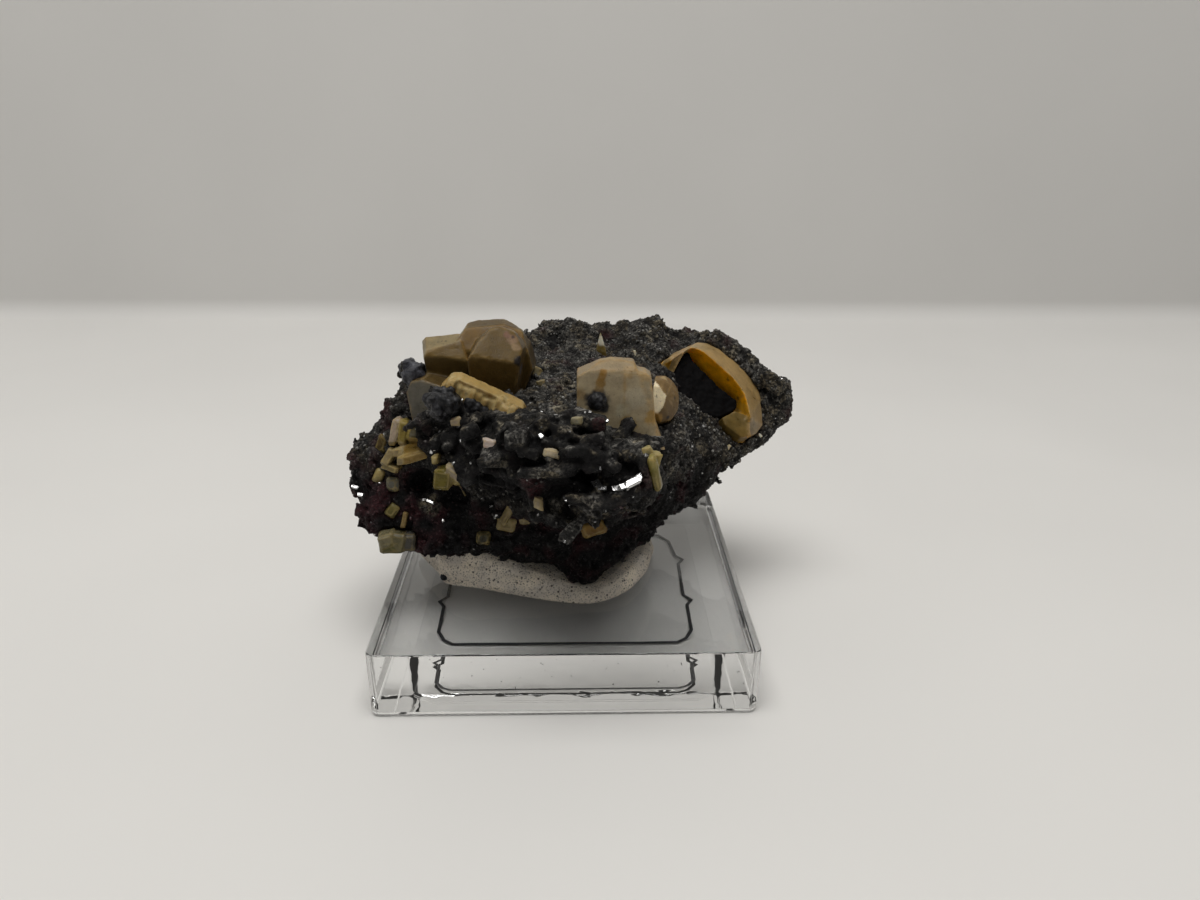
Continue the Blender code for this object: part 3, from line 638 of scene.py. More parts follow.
# How shut in each point is, from 0 in the open to 1 in a hole
def shutIn(points, normals, surface):
    reach = rockLook["cavity"] * mm
    shut = np.zeros(len(points))
    starts = (points + normals * 0.12) * mm
    for lean in ((0, 0, 1.2), (0, -1.2, 0.4), (0.8, 0.1, 0.5), (-0.8, 0.1, 0.5)):
        ways = unit(normals + np.array(lean))
        for index, start in enumerate(starts):
            far = surface.ray_cast(Vector(start), Vector(ways[index]), reach)[3]
            if far is not None:
                shut[index] += 0.25 * (1 - far / reach)
    return shut


# How far, in mm, points stand out from a surface
def heightOver(points, surface):
    heights = np.zeros(len(points))
    for index, point in enumerate(points):
        place = Vector(point) * mm
        foot, normal, _, _ = surface.find_nearest(place)
        heights[index] = (place - foot).dot(normal) / mm
    return heights


# Layered relief, coarse to fine, and the masks that the rock's material reads, with painted shade and
# highlight in pale
def roughen(rock, neighbours, original):
    points, normals = pointsOf(rock)
    front, low, left = rockZones(points)
    near = nearTo(points, neighbours, rockLook["reach"])
    heights = heightOver(points, original)
    # free is how open each point is; pale and red are darkened by it at the end, a painted shade in
    # hollows
    free = 1 - shutIn(points, normals, surfaceOf([rock]))
    bumps = (rockLook["lumpHigh"] * noiseAt(points, 1.0, 8.0)
             + rockLook["cellHigh"] * (0.45 - cellsAt(points, 0.6, 5.0))
             + rockLook["grainHigh"] * noiseAt(points, 0.42, 1.0))
    raised = smooth(-0.16, 0.14, bumps)
    push = rockLook["grow"] * near + bumps * (1 - 0.35 * near) * (1 - 0.62 * front)
    points += normals * push[:, None]
    movePoints(rock, keepIn(points))
    # out is low where the surface lies below the CAD shape; pale falls there, a painted shade in the
    # hollows
    out = smooth(-0.45, 0.55, heights + 2.0 * near)
    upward = smooth(-0.1, 0.8, normals[:, 2])
    # pale: painted shade in the pits between bumps, in sunken hollows and on the low wall under the
    # overhang; the left end is darker for its own tone
    pale = (0.08 + 0.92 * raised) * (0.25 + 0.75 * out) * (1.0 - 0.96 * low - 0.45 * left)
    # Painted light on the hump: faces that turn down are darkened as painted shade, and patches of upward
    # faces are made paler as painted highlight
    pale *= 1 - 0.8 * front * (1 - upward)
    pale *= 1 - front * (0.8 - 2.4 * smooth(-0.10, 0.35, noiseAt(points, 1.3, 50.0)) * upward)
    red = redAt(points, low, left) * (1 - 0.8 * front)
    surface = surfaceOf([rock])
    # Patches: painted shade in hollows, and partly painted sheen on plate tops
    for across, below, radius, paleThere, redThere in rockToneAndShadePatches:
        place = seenOn(surface, across, below)
        if place is not None:
            share = smooth(1.0, 0.6, gapTo(points, place) / radius)
            pale += share * (paleThere * (0.3 + 0.7 * raised) - pale)
            red += share * (redThere - red)
    # Painted shade: pale and red are multiplied by how open each point is, so enclosed hollows go dark
    giveNumbers(rock.data, red=red * free, pale=np.clip(pale * free ** 3, 0.0, 2.0))


# Cuts a piece in two closed halves across Y, each under the size that an export keeps whole
def splitAcross(piece, at, title):
    other = addPiece(title, piece.data.copy())
    for half, backSide in ((piece, False), (other, True)):
        editAll(half)
        bpy.ops.mesh.bisect(plane_co=(0, at * mm, 0), plane_no=(0, 1, 0), use_fill=True,
                            clear_inner=backSide, clear_outer=not backSide, threshold=1e-7)
        bpy.ops.mesh.select_mode(type="FACE")
        bpy.ops.mesh.faces_shade_flat()
        bpy.ops.mesh.region_to_loop()
        bpy.ops.mesh.mark_sharp()
        backToObject()
    return other


def makeRock(material, neighbours):
    rock = copyNode("matrix_rock", "gossanFront")
    original = surfaceOf([rock])
    skinOver(rock, rockLook["core"])
    plain = surfaceOf([rock])
    pits = [(seenOn(plain, across, below), radius, depth)
            for across, below, radius, depth in rockPits]
    pits = [pit for pit in pits if pit[0] is not None]
    wearHollows(rock, neighbours, pits)
    addBlocks(rock, neighbours, pits, plain)
    skinOver(rock, rockLook["voxel"])
    roughen(rock, neighbours, original)
    takeUp(rock)
    bpy.ops.object.shade_smooth()
    surface = surfaceOf([rock])
    whole = bpy.data.objects.new("wholeRock", rock.data.copy())
    back = splitAcross(rock, rockLook["cutAt"], "gossanBack")
    for piece in (rock, back):
        settle(piece, material, "rock", "matrix_rock")
    return whole, surface


# Grains on the rock

grainLook = {"count": 8000, "small": 0.05, "large": 0.17, "bright": (0.34, 0.33, 0.30),
             "jitter": 0.15, "seed": 5}


def grainMaterial():
    material, shader = newMaterial("grains")
    tint = readMask(shader, "tint")
    fine = softNoise(objectPlace(shader), 0.12, 3.0, 0.7)
    light = combine(combine(tint, tint), spread(fine, 0.3, 0.7, 0.3, 1.0))
    # pale carries the painted shade on the low wall
    light = combine(light, readMask(shader, "pale"))
    colour = blend(readMask(shader, "red"), blend(light, rockLook["charcoal"], grainLook["bright"]),
                   rockLook["maroon"])
    feed(shader, {"Base Color": colour, "Roughness": spread(tint, 0.0, 1.0, 0.75, 0.3),
                  "Normal": relief(fine, 0.5, 0.05)})
    return material


def makeGrains(rock, material, neighbours):
    shape = ballShape(1)
    corners = len(shape[0])
    dice = np.random.default_rng(grainLook["seed"])
    for part in ("upper", "lower"):
        top = part == "upper"
        places, normals = spreadOver(
            rock, grainLook["count"], dice,
            lambda at, facing: ((facing[:, 2] > 0.25) == top) * (1.0 - 0.85 * rockZones(at)[0]))
        keep = nearTo(places, neighbours, 0.2) < 0.5
        places, normals = places[keep], normals[keep]
        count = len(places)
        base = dice.random(count) ** 2.0
        base = grainLook["small"] + (grainLook["large"] - grainLook["small"]) * base
        sizes = base[:, None] * dice.uniform(0.5, 1.4, (count, 3))
        up = unit(normals + dice.normal(size=(count, 3)))
        grains = repeatShape("grains_" + part, shape, places, axesFrom(up, dice), sizes,
                             grainLook["jitter"], dice)
        front, low, left = rockZones(places)
        # Grains darker on the low wall as painted shade under the overhang, and darker on the hump and at
        # the left end
        pale = (1.0 - 0.96 * low - 0.45 * left) * (1 - 0.7 * front)
        giveNumbers(grains.data, tint=np.repeat(dice.random(count), corners),
                    red=np.repeat(redAt(places, low, left), corners), pale=np.repeat(pale, corners))
        settle(grains, material, "rock", "matrix_rock")


# Crystals

# What every crystal has, unless its own look says otherwise; widths and heights in mm
crystalLook = {"voxel": 0.13, "rimWide": 0.34, "rimShare": 0.6, "chip": 0.10, "wave": 0.03,
               "edgeAngle": 9.0, "easing": 2, "fall": 0.62, "fit": 0.80,
               "wax": 0.22, "depth": 0.8, "spread": (1.0, 0.62, 0.3), "shine": 0.2,
               "fleck": (0.045, 0.032, 0.018)}


def crystalMaterial(title, roughLow=0.26, roughHigh=0.44, clouding=0.25):
    material, shader = newMaterial(title)
    place = objectPlace(shader)
    clouds = softNoise(place, 1.1, 5.0, 0.65)
    fine = softNoise(place, 0.14, 3.0, 0.6)
    flecks = spread(softNoise(place, 0.32, 2.0, 0.5), 0.66, 0.74)
    shade = combine(spread(clouds, 0.3, 0.7, 1.0 - clouding, 1.0 + clouding),
                    spread(fine, 0.2, 0.8, 0.90, 1.10))
    colour = shaded(readMask(shader, "tone", "Color"), shade)
    feed(shader, {"Base Color": blend(combine(flecks, 0.55), colour, crystalLook["fleck"]),
                  "Roughness": spread(clouds, 0.3, 0.7, roughLow, roughHigh),
                  "Normal": relief(combine(fine, clouds, "ADD"), 0.45, 0.06),
                  "Subsurface Weight": crystalLook["wax"],
                  "Subsurface Radius": crystalLook["spread"],
                  "Subsurface Scale": crystalLook["depth"] * mm,
                  "IOR": 1.5, "Specular IOR Level": crystalLook["shine"]})
    return material


# The tone of the listed facet that fits a face best, by its direction and its place; the tones are partly
# the crystal's own colour and partly painted light, paler on facets that face up and darker on those that
# face down
def facetTone(look, middle, normal):
    if "blocks" in look:
        return min(look["blocks"], key=lambda row: (row[0] - middle).length)[1]
    best, score = look["body"], look["fit"]
    for centre, turn, rise, tone in look["facets"]:
        fit = normal.dot(heading(turn, rise))
        if centre is not None:
            fit -= 0.06 * (middle - Vector(centre)).length
        if fit > score:
            best, score = tone, fit
    return best


# The crystal's plain facets: a surface to look them up on, a tone for each, and its edges
def facetPlan(piece, look):
    shape = bmesh.new()
    shape.from_mesh(piece.data)
    bmesh.ops.dissolve_limit(shape, angle_limit=math.radians(1.0), verts=shape.verts,
                             edges=shape.edges)
    shape.normal_update()
    tones = [facetTone(look, face.calc_center_median() / mm, face.normal)
             for face in shape.faces]
    edges = [[tuple(vert.co / mm) for vert in edge.verts] for edge in shape.edges
             if edge.calc_face_angle(0) > math.radians(crystalLook["edgeAngle"])]
    surface = BVHTree.FromBMesh(shape)
    shape.free()
    return surface, tones, np.array(edges)


# Distance in mm from each point to the nearest of the edges
def edgeGap(points, edges):
    gap = np.full(len(points), 9.0)
    for start, end in edges:
        along = end - start
        share = np.clip((points - start) @ along / max(along @ along, 1e-9), 0, 1)
        gap = np.minimum(gap, np.linalg.norm(points - start - share[:, None] * along, axis=1))
    return gap


# Wears the edges, then paints the facets, a painted shade towards the bottom, their pale rims, bands and
# spots; facet tones and rims are partly painted light
def paintCrystal(piece, look, plan):
    surface, tones, edges = plan
    points, normals = pointsOf(piece)
    gap = edgeGap(points, edges)
    rim = look["rimWide"]
    chips = look["chip"] * np.maximum(0, noiseAt(points, 0.7, 4.0) + 0.1)
    wave = look["wave"] * noiseAt(points, 1.3, 9.0)
    moved = points + normals * (wave - chips * smooth(rim, 0.0, gap))[:, None]
    movePoints(piece, keepIn(moved))
    colour = np.array([tones[surface.find_nearest(Vector(p) * mm)[2]] for p in points])
    # Painted shade: each crystal darker towards its bottom, by the given share at its lowest point
    low, high = points[:, 2].min(), points[:, 2].max()
    fall = look["fall"]
    colour = colour * (fall + (1 - fall) * smooth(low, high, points[:, 2]))[:, None]

    def paint(share, tone):
        nonlocal colour
        colour = colour + share[:, None] * (np.array(tone) - colour)

    if "bands" in look:
        way, wide, tone, strength = look["bands"]
        turn = points @ np.array(way) / wide + 0.7 * noiseAt(points, 2.0, 3.0)
        share = strength * smooth(0.35, 0.75, 0.5 + 0.5 * np.sin(2 * math.pi * turn))
        paint(share * smooth(0.5, -0.1, normals[:, 2]), tone)
    # Pale rims along the edges: partly the crystal's own pale edge zones and partly painted highlight
    # where the edges catch the light
    share = smooth(rim, 0.05, gap) * (0.55 + 0.9 * noiseAt(points, 0.9, 6.0)).clip(0.1, 1.0)
    paint(share * look["rimShare"], look["rim"])
    finished = surfaceOf([piece])
    for across, below, radius, tone, strength in look.get("spots", ()):
        place = seenOn(finished, across, below)
        if place is not None:
            share = gapTo(points, place) / radius + 0.3 * noiseAt(points, 0.35, 2.0)
            paint(strength * smooth(1.0, 0.55, share), tone)
    rows = np.ones((len(points), 4), dtype=np.float32)
    rows[:, :3] = colour.clip(0.001, 1.0)
    layer = piece.data.color_attributes.new("tone", "FLOAT_COLOR", "POINT")
    layer.data.foreach_set("color", rows.reshape(-1))


def finishCrystal(piece, look, material, slot, node):
    look = {**crystalLook, **look}
    plan = facetPlan(piece, look)
    skinOver(piece, look["voxel"])
    takeUp(piece)
    easing = piece.modifiers.new("easing", "SMOOTH")
    easing.factor = 0.5
    easing.iterations = look["easing"]
    applyAll(piece)
    paintCrystal(piece, look, plan)
    settle(piece, material, slot, node, soft=True)


# The left cluster: three grown-together blocks and a grey plate
leftPlace = (-12.2, -1.2, 31.2)
rightPlace = (-6.9, -3.0, 31.6)
behindPlace = (-7.3, 0.6, 31.2)
greyPlace = (-14.2, -4.9, 28.5)
clusterBlocks = (
    (leftPlace, (
        (-101, 72, 1.79), (-77, 37, 1.68), (-85, -10, 1.59), (-160, 29, 2.51), (-172, -8, 2.2),
        (5, 21, 2.15), (5, -10, 2.4), (100, 40, 2.2), (95, -8, 2.6), (-90, -90, 3.6))),
    (rightPlace, (
        (-72, 40, 1.62), (-84, -9, 1.72), (180, 0, 2.68), (180, 30, 2.57), (180, 47, 2.66),
        (180, 79, 3.10), (-90, 76, 2.95), (0, 67, 3.11), (0, 30, 2.92), (-8, -8, 2.55),
        (-50, -16, 2.75), (95, 35, 2.6), (95, -8, 2.8), (-90, -90, 4.4))),
    (behindPlace, (
        (-115, 84, 3.15), (-82, 38, 2.3), (180, 36, 4.1), (180, -6, 4.2), (0, 69, 3.38),
        (0, 21, 3.62), (0, 11, 3.66), (-6, -21, 4.3), (30, 42, 3.6), (95, 44, 3.4),
        (95, -8, 3.2), (135, 40, 3.9), (-85, -4, 2.2), (-90, -90, 4.0))),
)
greyPlate = ((-14.2, -5.5, 30.2), (-15.3, -5.3, 29.9), (-15.8, -5.5, 28.8), (-15.3, -6.1, 26.1),
             (-15.0, -6.4, 25.4), (-14.5, -6.6, 25.05), (-13.5, -6.9, 25.1), (-12.4, -6.9, 26.0),
             (-12.2, -6.1, 29.7))
greyPlateBack = (0.6, 4.2, -0.3)
clusterLook = {
    "body": (0.10, 0.066, 0.024), "rim": (0.27, 0.185, 0.075), "rimShare": 0.38, "fall": 0.5,
    # Facet tones: upper facets paler and lower facets darker, partly painted light
    "facets": (
        (leftPlace, -101, 72, (0.25, 0.195, 0.10)), (leftPlace, -77, 37, (0.145, 0.092, 0.026)),
        (leftPlace, -85, -10, (0.110, 0.070, 0.020)), (leftPlace, -160, 29, (0.22, 0.18, 0.11)),
        (leftPlace, -172, -8, (0.20, 0.17, 0.11)),
        (rightPlace, -72, 40, (0.125, 0.078, 0.020)), (rightPlace, -84, -9, (0.125, 0.076, 0.020)),
        (rightPlace, -90, 76, (0.21, 0.155, 0.08)), (rightPlace, -8, -8, (0.13, 0.08, 0.024)),
        (rightPlace, -50, -16, (0.11, 0.07, 0.022)), (rightPlace, 0, 67, (0.19, 0.13, 0.06)),
        (behindPlace, -115, 84, (0.26, 0.20, 0.095)), (behindPlace, -82, 38, (0.15, 0.085, 0.018)),
        (behindPlace, 0, 69, (0.24, 0.165, 0.08)), (behindPlace, 0, 21, (0.22, 0.12, 0.032)),
        (behindPlace, 0, 11, (0.20, 0.11, 0.028)), (behindPlace, -6, -21, (0.15, 0.085, 0.022)),
        (behindPlace, -85, -4, (0.19, 0.105, 0.028)),
        (greyPlace, -104, 20, (0.145, 0.133, 0.105)), (greyPlace, -95, 30, (0.145, 0.133, 0.105)),
        (greyPlace, -120, 5, (0.145, 0.133, 0.105))),
    "spots": (
        (512, 339, 0.75, (0.27, 0.17, 0.10), 0.8), (507, 335, 0.5, (0.20, 0.10, 0.07), 0.7),
        (516, 347, 0.6, (0.30, 0.20, 0.11), 0.7), (513, 337, 0.25, (0.05, 0.03, 0.025), 0.8),
        (438, 342, 0.14, (0.02, 0.02, 0.02), 0.9), (442, 341, 0.11, (0.02, 0.02, 0.02), 0.9),
        (446, 341, 0.10, (0.02, 0.02, 0.02), 0.9), (422, 352, 0.35, (0.012, 0.012, 0.018), 0.9),
        (422, 346, 0.22, (0.012, 0.012, 0.018), 0.9), (519, 361, 0.7, (0.012, 0.011, 0.013), 0.95),
        (521, 369, 0.7, (0.10, 0.10, 0.115), 0.9)),
}

bladeLook = {
    "body": (0.38, 0.255, 0.085), "rim": (0.46, 0.38, 0.20), "rimShare": 0.6, "fall": 0.8,
    "facets": ((None, 90, 60, (0.46, 0.38, 0.20)),), "chip": 0.2,
    "bands": ((0.89, 0.0, -0.44), 0.85, (0.23, 0.115, 0.022), 0.8),
    "spots": ((474, 409, 0.9, (0.03, 0.027, 0.028), 0.85), (484, 412, 0.8, (0.05, 0.04, 0.035), 0.85),
              (466, 403, 0.6, (0.03, 0.027, 0.028), 0.8), (497, 412, 0.5, (0.04, 0.03, 0.03), 0.8)),
}

# The centre crystal: a broad block and the lower step at its right
centrePlace = (4.8, -10.6, 30.6)
stepPlace = (7.2, -10.4, 30.0)
centreBlocks = (
    (centrePlace, (
        (-83, 7, 0.91), (-81, 56, 2.20), (180, 0, 3.58), (180, 63.3, 3.22), (180, 81.6, 3.08),
        (0, 83, 2.98), (0, 20, 2.67), (97, 30, 2.7), (97, -8, 2.5), (-90, -90, 5.6))),
    (stepPlace, (
        (-83, 7, 1.02), (-81, 50, 2.3), (0, 75, 2.53), (0, 55, 2.31), (0, 6.2, 1.25),
        (180, 0, 1.5), (97, 20, 2.2), (-90, -90, 4.9))),
)
centreLook = {
    "body": (0.33, 0.255, 0.145), "rim": (0.36, 0.23, 0.09), "rimShare": 0.6, "fall": 0.95,
    "rimWide": 0.4, "wave": 0.02, "chip": 0.09,
    "facets": ((None, -81, 56, (0.29, 0.22, 0.125)), (None, -83, 7, (0.345, 0.28, 0.175)),
               (None, 180, 63, (0.27, 0.20, 0.11)), (None, 0, 6, (0.30, 0.20, 0.085)),
               (None, 85, 83, (0.29, 0.22, 0.125))),
    "spots": (
        (603, 372, 0.42, (0.27, 0.14, 0.025), 0.8), (602, 377, 0.5, (0.27, 0.14, 0.025), 0.85),
        (601, 383, 0.55, (0.25, 0.13, 0.022), 0.8), (599, 389, 0.6, (0.24, 0.14, 0.04), 0.7),
        (630, 376, 0.35, (0.32, 0.21, 0.09), 0.6), (646, 376, 0.7, (0.36, 0.24, 0.10), 0.6),
        (580, 395, 0.7, (0.29, 0.19, 0.08), 0.6), (622, 411, 0.8, (0.33, 0.30, 0.21), 0.6),
        (636, 398, 1.3, (0.38, 0.335, 0.24), 0.6), (629, 424, 1.0, (0.26, 0.17, 0.055), 0.7),
        (597, 401, 1.35, (0.020, 0.019, 0.022), 0.97), (604, 408, 0.6, (0.02, 0.02, 0.022), 0.9),
        (652, 418, 0.9, (0.34, 0.20, 0.05), 0.8)),
}
roundLook = {
    "body": (0.17, 0.105, 0.038), "rim": (0.32, 0.22, 0.10), "rimShare": 0.45, "voxel": 0.11,
    "facets": ((None, -100, 10, (0.84, 0.74, 0.52)), (None, -95, 40, (0.84, 0.74, 0.52))),
    "fit": 0.86, "rimWide": 0.2,
    "spots": ((672, 381, 0.2, (0.02, 0.02, 0.02), 0.9), (675, 398, 0.22, (0.02, 0.02, 0.02), 0.9),
              (668, 417, 0.25, (0.02, 0.02, 0.02), 0.9), (664, 378, 0.5, (0.38, 0.27, 0.12), 0.8),
              (656, 418, 0.8, (0.36, 0.20, 0.045), 0.8), (676, 390, 0.15, (0.02, 0.02, 0.02), 0.9)),
}
sliverLook = {
    "body": (0.12, 0.085, 0.02), "rim": (0.5, 0.45, 0.3), "rimShare": 0.6, "rimWide": 0.16,
    "voxel": 0.09, "chip": 0.05, "facets": (), "fall": 1.0,
    "spots": ((602, 333, 0.9, (0.66, 0.64, 0.55), 0.9), (602, 341, 0.7, (0.6, 0.58, 0.48), 0.8),
              (601, 352, 0.9, (0.13, 0.09, 0.02), 0.8)),
}
# Ribs along the blade's front: first and last place in pixels, sizes in mm
bladeRibs = {"count": 10, "from": (450, 390), "to": (511, 416), "wide": 0.86, "deep": 1.6,
             "high": (1.7, 3.0), "roll": -25, "tip": 12.0, "lift": -0.30, "unevenLift": 0.25,
             "seed": 33}
# Lobe at the crescent's left end: outline and reference point in pixels, mm
lobeLook = {"at": (668, 370), "lift": 0.25, "deep": 1.6,
            "outline": ((657, 369), (663, 361), (672, 356), (685, 352), (678, 364), (669, 381),
                        (661, 377))}
heelPlace = (19.6, 3.2, 22.6)
crescentLook = {
    "body": (0.33, 0.225, 0.105), "rim": (0.44, 0.31, 0.14), "rimShare": 0.4, "wave": 0.05,
    "fall": 0.75,
    "facets": (
        (None, -68, 40, (0.34, 0.225, 0.092)), (None, 20, 60, (0.31, 0.215, 0.095)),
        (heelPlace, -100, 25, (0.11, 0.075, 0.022)), (heelPlace, -60, 50, (0.16, 0.11, 0.032)),
        (heelPlace, -140, 20, (0.09, 0.06, 0.016)), (heelPlace, -90, 75, (0.13, 0.09, 0.026)),
        (None, -150, -10, (0.88, 0.40, 0.004)), (None, -130, -35, (0.82, 0.36, 0.004)),
        (None, -100, -30, (0.60, 0.27, 0.006)), (None, -160, 20, (0.62, 0.31, 0.02)),
        (None, 175, 0, (0.80, 0.36, 0.005)), (None, 160, -30, (0.7, 0.3, 0.004))),
    "spots": ((668, 366, 1.1, (0.14, 0.09, 0.018), 0.7), (676, 370, 1.0, (0.10, 0.07, 0.018), 0.8),
              (752, 428, 1.4, (0.24, 0.19, 0.12), 0.6), (728, 380, 0.25, (0.16, 0.07, 0.01), 0.7),
              (738, 398, 0.3, (0.16, 0.07, 0.01), 0.7), (729, 421, 1.9, (0.105, 0.070, 0.016), 0.95),
              (735, 430, 1.8, (0.095, 0.062, 0.014), 0.95), (740, 420, 1.5, (0.13, 0.085, 0.022), 0.9),
              (742, 432, 1.0, (0.16, 0.10, 0.024), 0.85), (721, 424, 1.1, (0.10, 0.066, 0.016), 0.9),
              (727, 433, 1.2, (0.09, 0.060, 0.015), 0.9), (734, 438, 1.2, (0.09, 0.060, 0.015), 0.9),
              (742, 440, 1.1, (0.11, 0.07, 0.018), 0.9)),
}
smallLook = {
    "rim": (0.34, 0.26, 0.10), "rimShare": 0.62, "voxel": 0.08, "rimWide": 0.16, "chip": 0.12,
    "facets": (), "fall": 0.4, "easing": 1, "wave": 0.07,
}
smallNodes = {
    "crystal_left_chip": ("chipCrystal", (0.33, 0.26, 0.11)),
    "crystal_left_grey": ("greyCrystal", (0.17, 0.165, 0.135)),
    "crystal_left_outer": ("outerCrystal", (0.09, 0.062, 0.022)),
    "crystal_wall": ("wallPlate", (0.13, 0.11, 0.035)),
    "crystal_under_pair": ("underPair", (0.34, 0.27, 0.13)),
    "crystal_under_blade": ("underBlade", (0.26, 0.20, 0.10)),
    "crystal_under_stub": ("underStub", (0.30, 0.24, 0.13)),
    "crystal_under_tooth": ("underTooth", (0.32, 0.27, 0.16)),
    "crystal_wall_square": ("wallSquare", (0.05, 0.045, 0.022)),
    "crystal_under_amber": ("underAmber", (0.26, 0.15, 0.04)),
    "crystal_rim_green": ("rimCrystal", (0.22, 0.185, 0.05)),
}

# Crystals made of blocks, each set by its middle in the picture: across and below in pixels,
# width, height and depth in mm, roll and tip in degrees, mm towards the camera, and tone
blockGroups = {
    "crystal_left_cup": ("cupCrystals", 0.6, (
        (397, 431, 0.8, 2.9, 2.6, -14, 5, 0.30, (0.36, 0.29, 0.22)),
        (405, 432, 0.9, 2.7, 2.4, -10, 5, 0.30, (0.20, 0.15, 0.035)),
        (420, 434, 2.6, 2.2, 1.8, -4, -20, 0.40, (0.050, 0.038, 0.009)),
        (437, 434, 0.45, 1.7, 2.6, 38, 8, 1.20, (0.30, 0.24, 0.09)),
        (441, 446, 0.5, 1.3, 2.6, -28, 8, 1.40, (0.26, 0.19, 0.05)),
        (420, 450, 4.3, 1.0, 2.8, 15, 30, 1.50, (0.23, 0.145, 0.035)),
        (400, 451, 1.2, 0.9, 2.0, 10, 10, 0.60, (0.26, 0.20, 0.10)),
        (390, 457, 1.0, 2.1, 2.2, -32, 0, 0.30, (0.26, 0.20, 0.10)),
        (392, 467, 1.6, 0.7, 2.0, -20, 10, 0.30, (0.20, 0.155, 0.07)))),
    "crystal_middle_block": ("middleBlock", 0.6, (
        (445, 477, 1.7, 2.0, 3.4, -8, 10, 1.00, (0.125, 0.10, 0.020)),
        (460, 468, 2.3, 1.0, 3.4, -34, 30, 1.20, (0.30, 0.25, 0.18)),
        (457, 479, 0.9, 1.2, 3.0, 28, 0, 0.90, (0.22, 0.17, 0.06)),
        (437, 458, 0.6, 0.9, 3.0, 0, 10, 1.10, (0.30, 0.24, 0.11)))),
    "crystal_low_left": ("lowCrystals", 0.3, (
        (388, 538, 1.7, 1.5, 2.2, 14, 20, 0.30, (0.17, 0.15, 0.085)),
        (393, 547, 2.6, 1.2, 2.0, 4, 0, 0.20, (0.075, 0.070, 0.028)),
        (399, 541, 1.5, 1.9, 2.2, -10, 10, 0.15, (0.12, 0.105, 0.055)),
        (409, 541, 1.6, 1.9, 2.0, -6, 10, 0.00, (0.060, 0.056, 0.048)),
        (405, 519, 0.5, 1.8, 1.2, -12, 0, 0.20, (0.16, 0.11, 0.045)))),
}
groupLook = {"fall": 0.75}
groupDice = {"jitter": 0.07, "seed": 31}
slotOfNode = {row["node"]: row["material_slot"] for row in frame["record"]["subparts"]}


# Blocks at picture points, each painted with its own tone
def paintedBlocks(title, rows, look, jitter, seed):
    places, axes, sizes, tones = zip(*rows)
    piece = repeatShape(title, blockShape(), places, axes, sizes, jitter,
                        np.random.default_rng(seed))
    return piece, {**smallLook, **look, "blocks": list(zip(places, tones))}


def makeGroup(node):
    title, rimShare, rows = blockGroups[node]
    rows = [(asDeepAs(node, across, below, lift), pictureAxes(roll, tip), (wide, deep, high), tone)
            for across, below, wide, high, deep, roll, tip, lift, tone in rows]
    return paintedBlocks(title, rows, dict(groupLook, rimShare=rimShare), **groupDice)


def makeCluster():
    piece = cutBlocks("tanCluster", clusterBlocks)
    joinInto(piece, [slabFrom("greyPlate", greyPlate, greyPlateBack)])
    return piece


# What the camera sees of a CAD node and the rock
def seenWith(node):
    return surfaceOf([frame["nodes"][node], frame["nodes"]["matrix_rock"]])


# The blade: its plate, and ribs that stand out in front of it in a scalloped row
def makeBlade():
    blade = copyNode("crystal_blade", "creamBlade")
    seen = seenWith("crystal_blade")
    dice = np.random.default_rng(bladeRibs["seed"])
    axes = pictureAxes(bladeRibs["roll"], bladeRibs["tip"])
    rows = []
    for k in range(bladeRibs["count"]):
        share = k / (bladeRibs["count"] - 1)
        across, below = (a + (b - a) * share for a, b in zip(bladeRibs["from"], bladeRibs["to"]))
        lift = bladeRibs["lift"] + dice.uniform(0.0, bladeRibs["unevenLift"])
        size = (bladeRibs["wide"], bladeRibs["deep"], dice.uniform(*bladeRibs["high"]))
        rows.append((frontOf(seen, across, below, lift), axes, size))
    joinInto(blade, [repeatShape("rib", blockShape(), *zip(*rows))])
    return blade


# The crescent, with the small lobe at its left end
def makeCrescent():
    crescent = copyNode("crystal_right", "honeyCrescent")
    ahead = cameraAxes()[2]
    through = frontOf(seenWith("crystal_right"), *lobeLook["at"], lobeLook["lift"])
    outline = [onPlane(*point, through, ahead) for point in lobeLook["outline"]]
    joinInto(crescent, [slabFrom("lobe", outline, ahead * lobeLook["deep"])])
    return crescent


def makeCrystals():
    waxy = crystalMaterial("tanCrystal")
    pale = crystalMaterial("creamCrystal", 0.34, 0.5, 0.18)
    small = crystalMaterial("oliveCrystal", 0.2, 0.36, 0.28)
    rows = [("crystal_cluster_left", makeCluster(), clusterLook, waxy),
            ("crystal_blade", makeBlade(), bladeLook, pale),
            ("crystal_centre", cutBlocks("centreCrystal", centreBlocks), centreLook, waxy),
            ("crystal_round", copyNode("crystal_round", "roundCrystal"), roundLook, pale),
            ("crystal_sliver", copyNode("crystal_sliver", "sliverCrystal"), sliverLook, pale),
            ("crystal_right", makeCrescent(), crescentLook, waxy)]
    rows += [(node, copyNode(node, title), dict(smallLook, body=body), small)
             for node, (title, body) in smallNodes.items()]
    rows += [(node, *makeGroup(node), small) for node in blockGroups]
    for node, piece, look, material in rows:
        finishCrystal(piece, look, material, slotOfNode[node], node)
    return [row[1] for row in rows]


# Base, film and putty

baseLook = {"tint": (0.972, 0.978, 0.978), "bottom": 0.04, "top": 7.08, "wave": 4.0,
            "dust": 90, "dustSize": (0.03, 0.10), "dustTone": (0.72, 0.70, 0.67), "half": 18.3,
            "seed": 41}
filmLook = {"line": 0.36, "high": 0.03, "level": 0.30, "wide": 27.0, "front": -12.6,
            "back": 10.6, "notch": 1.9, "low": 0.12, "thick": 0.06, "tint": (0.97, 0.97, 0.97),
            "inks": ((0.02, 0.02, 0.022), (0.06, 0.06, 0.065))}


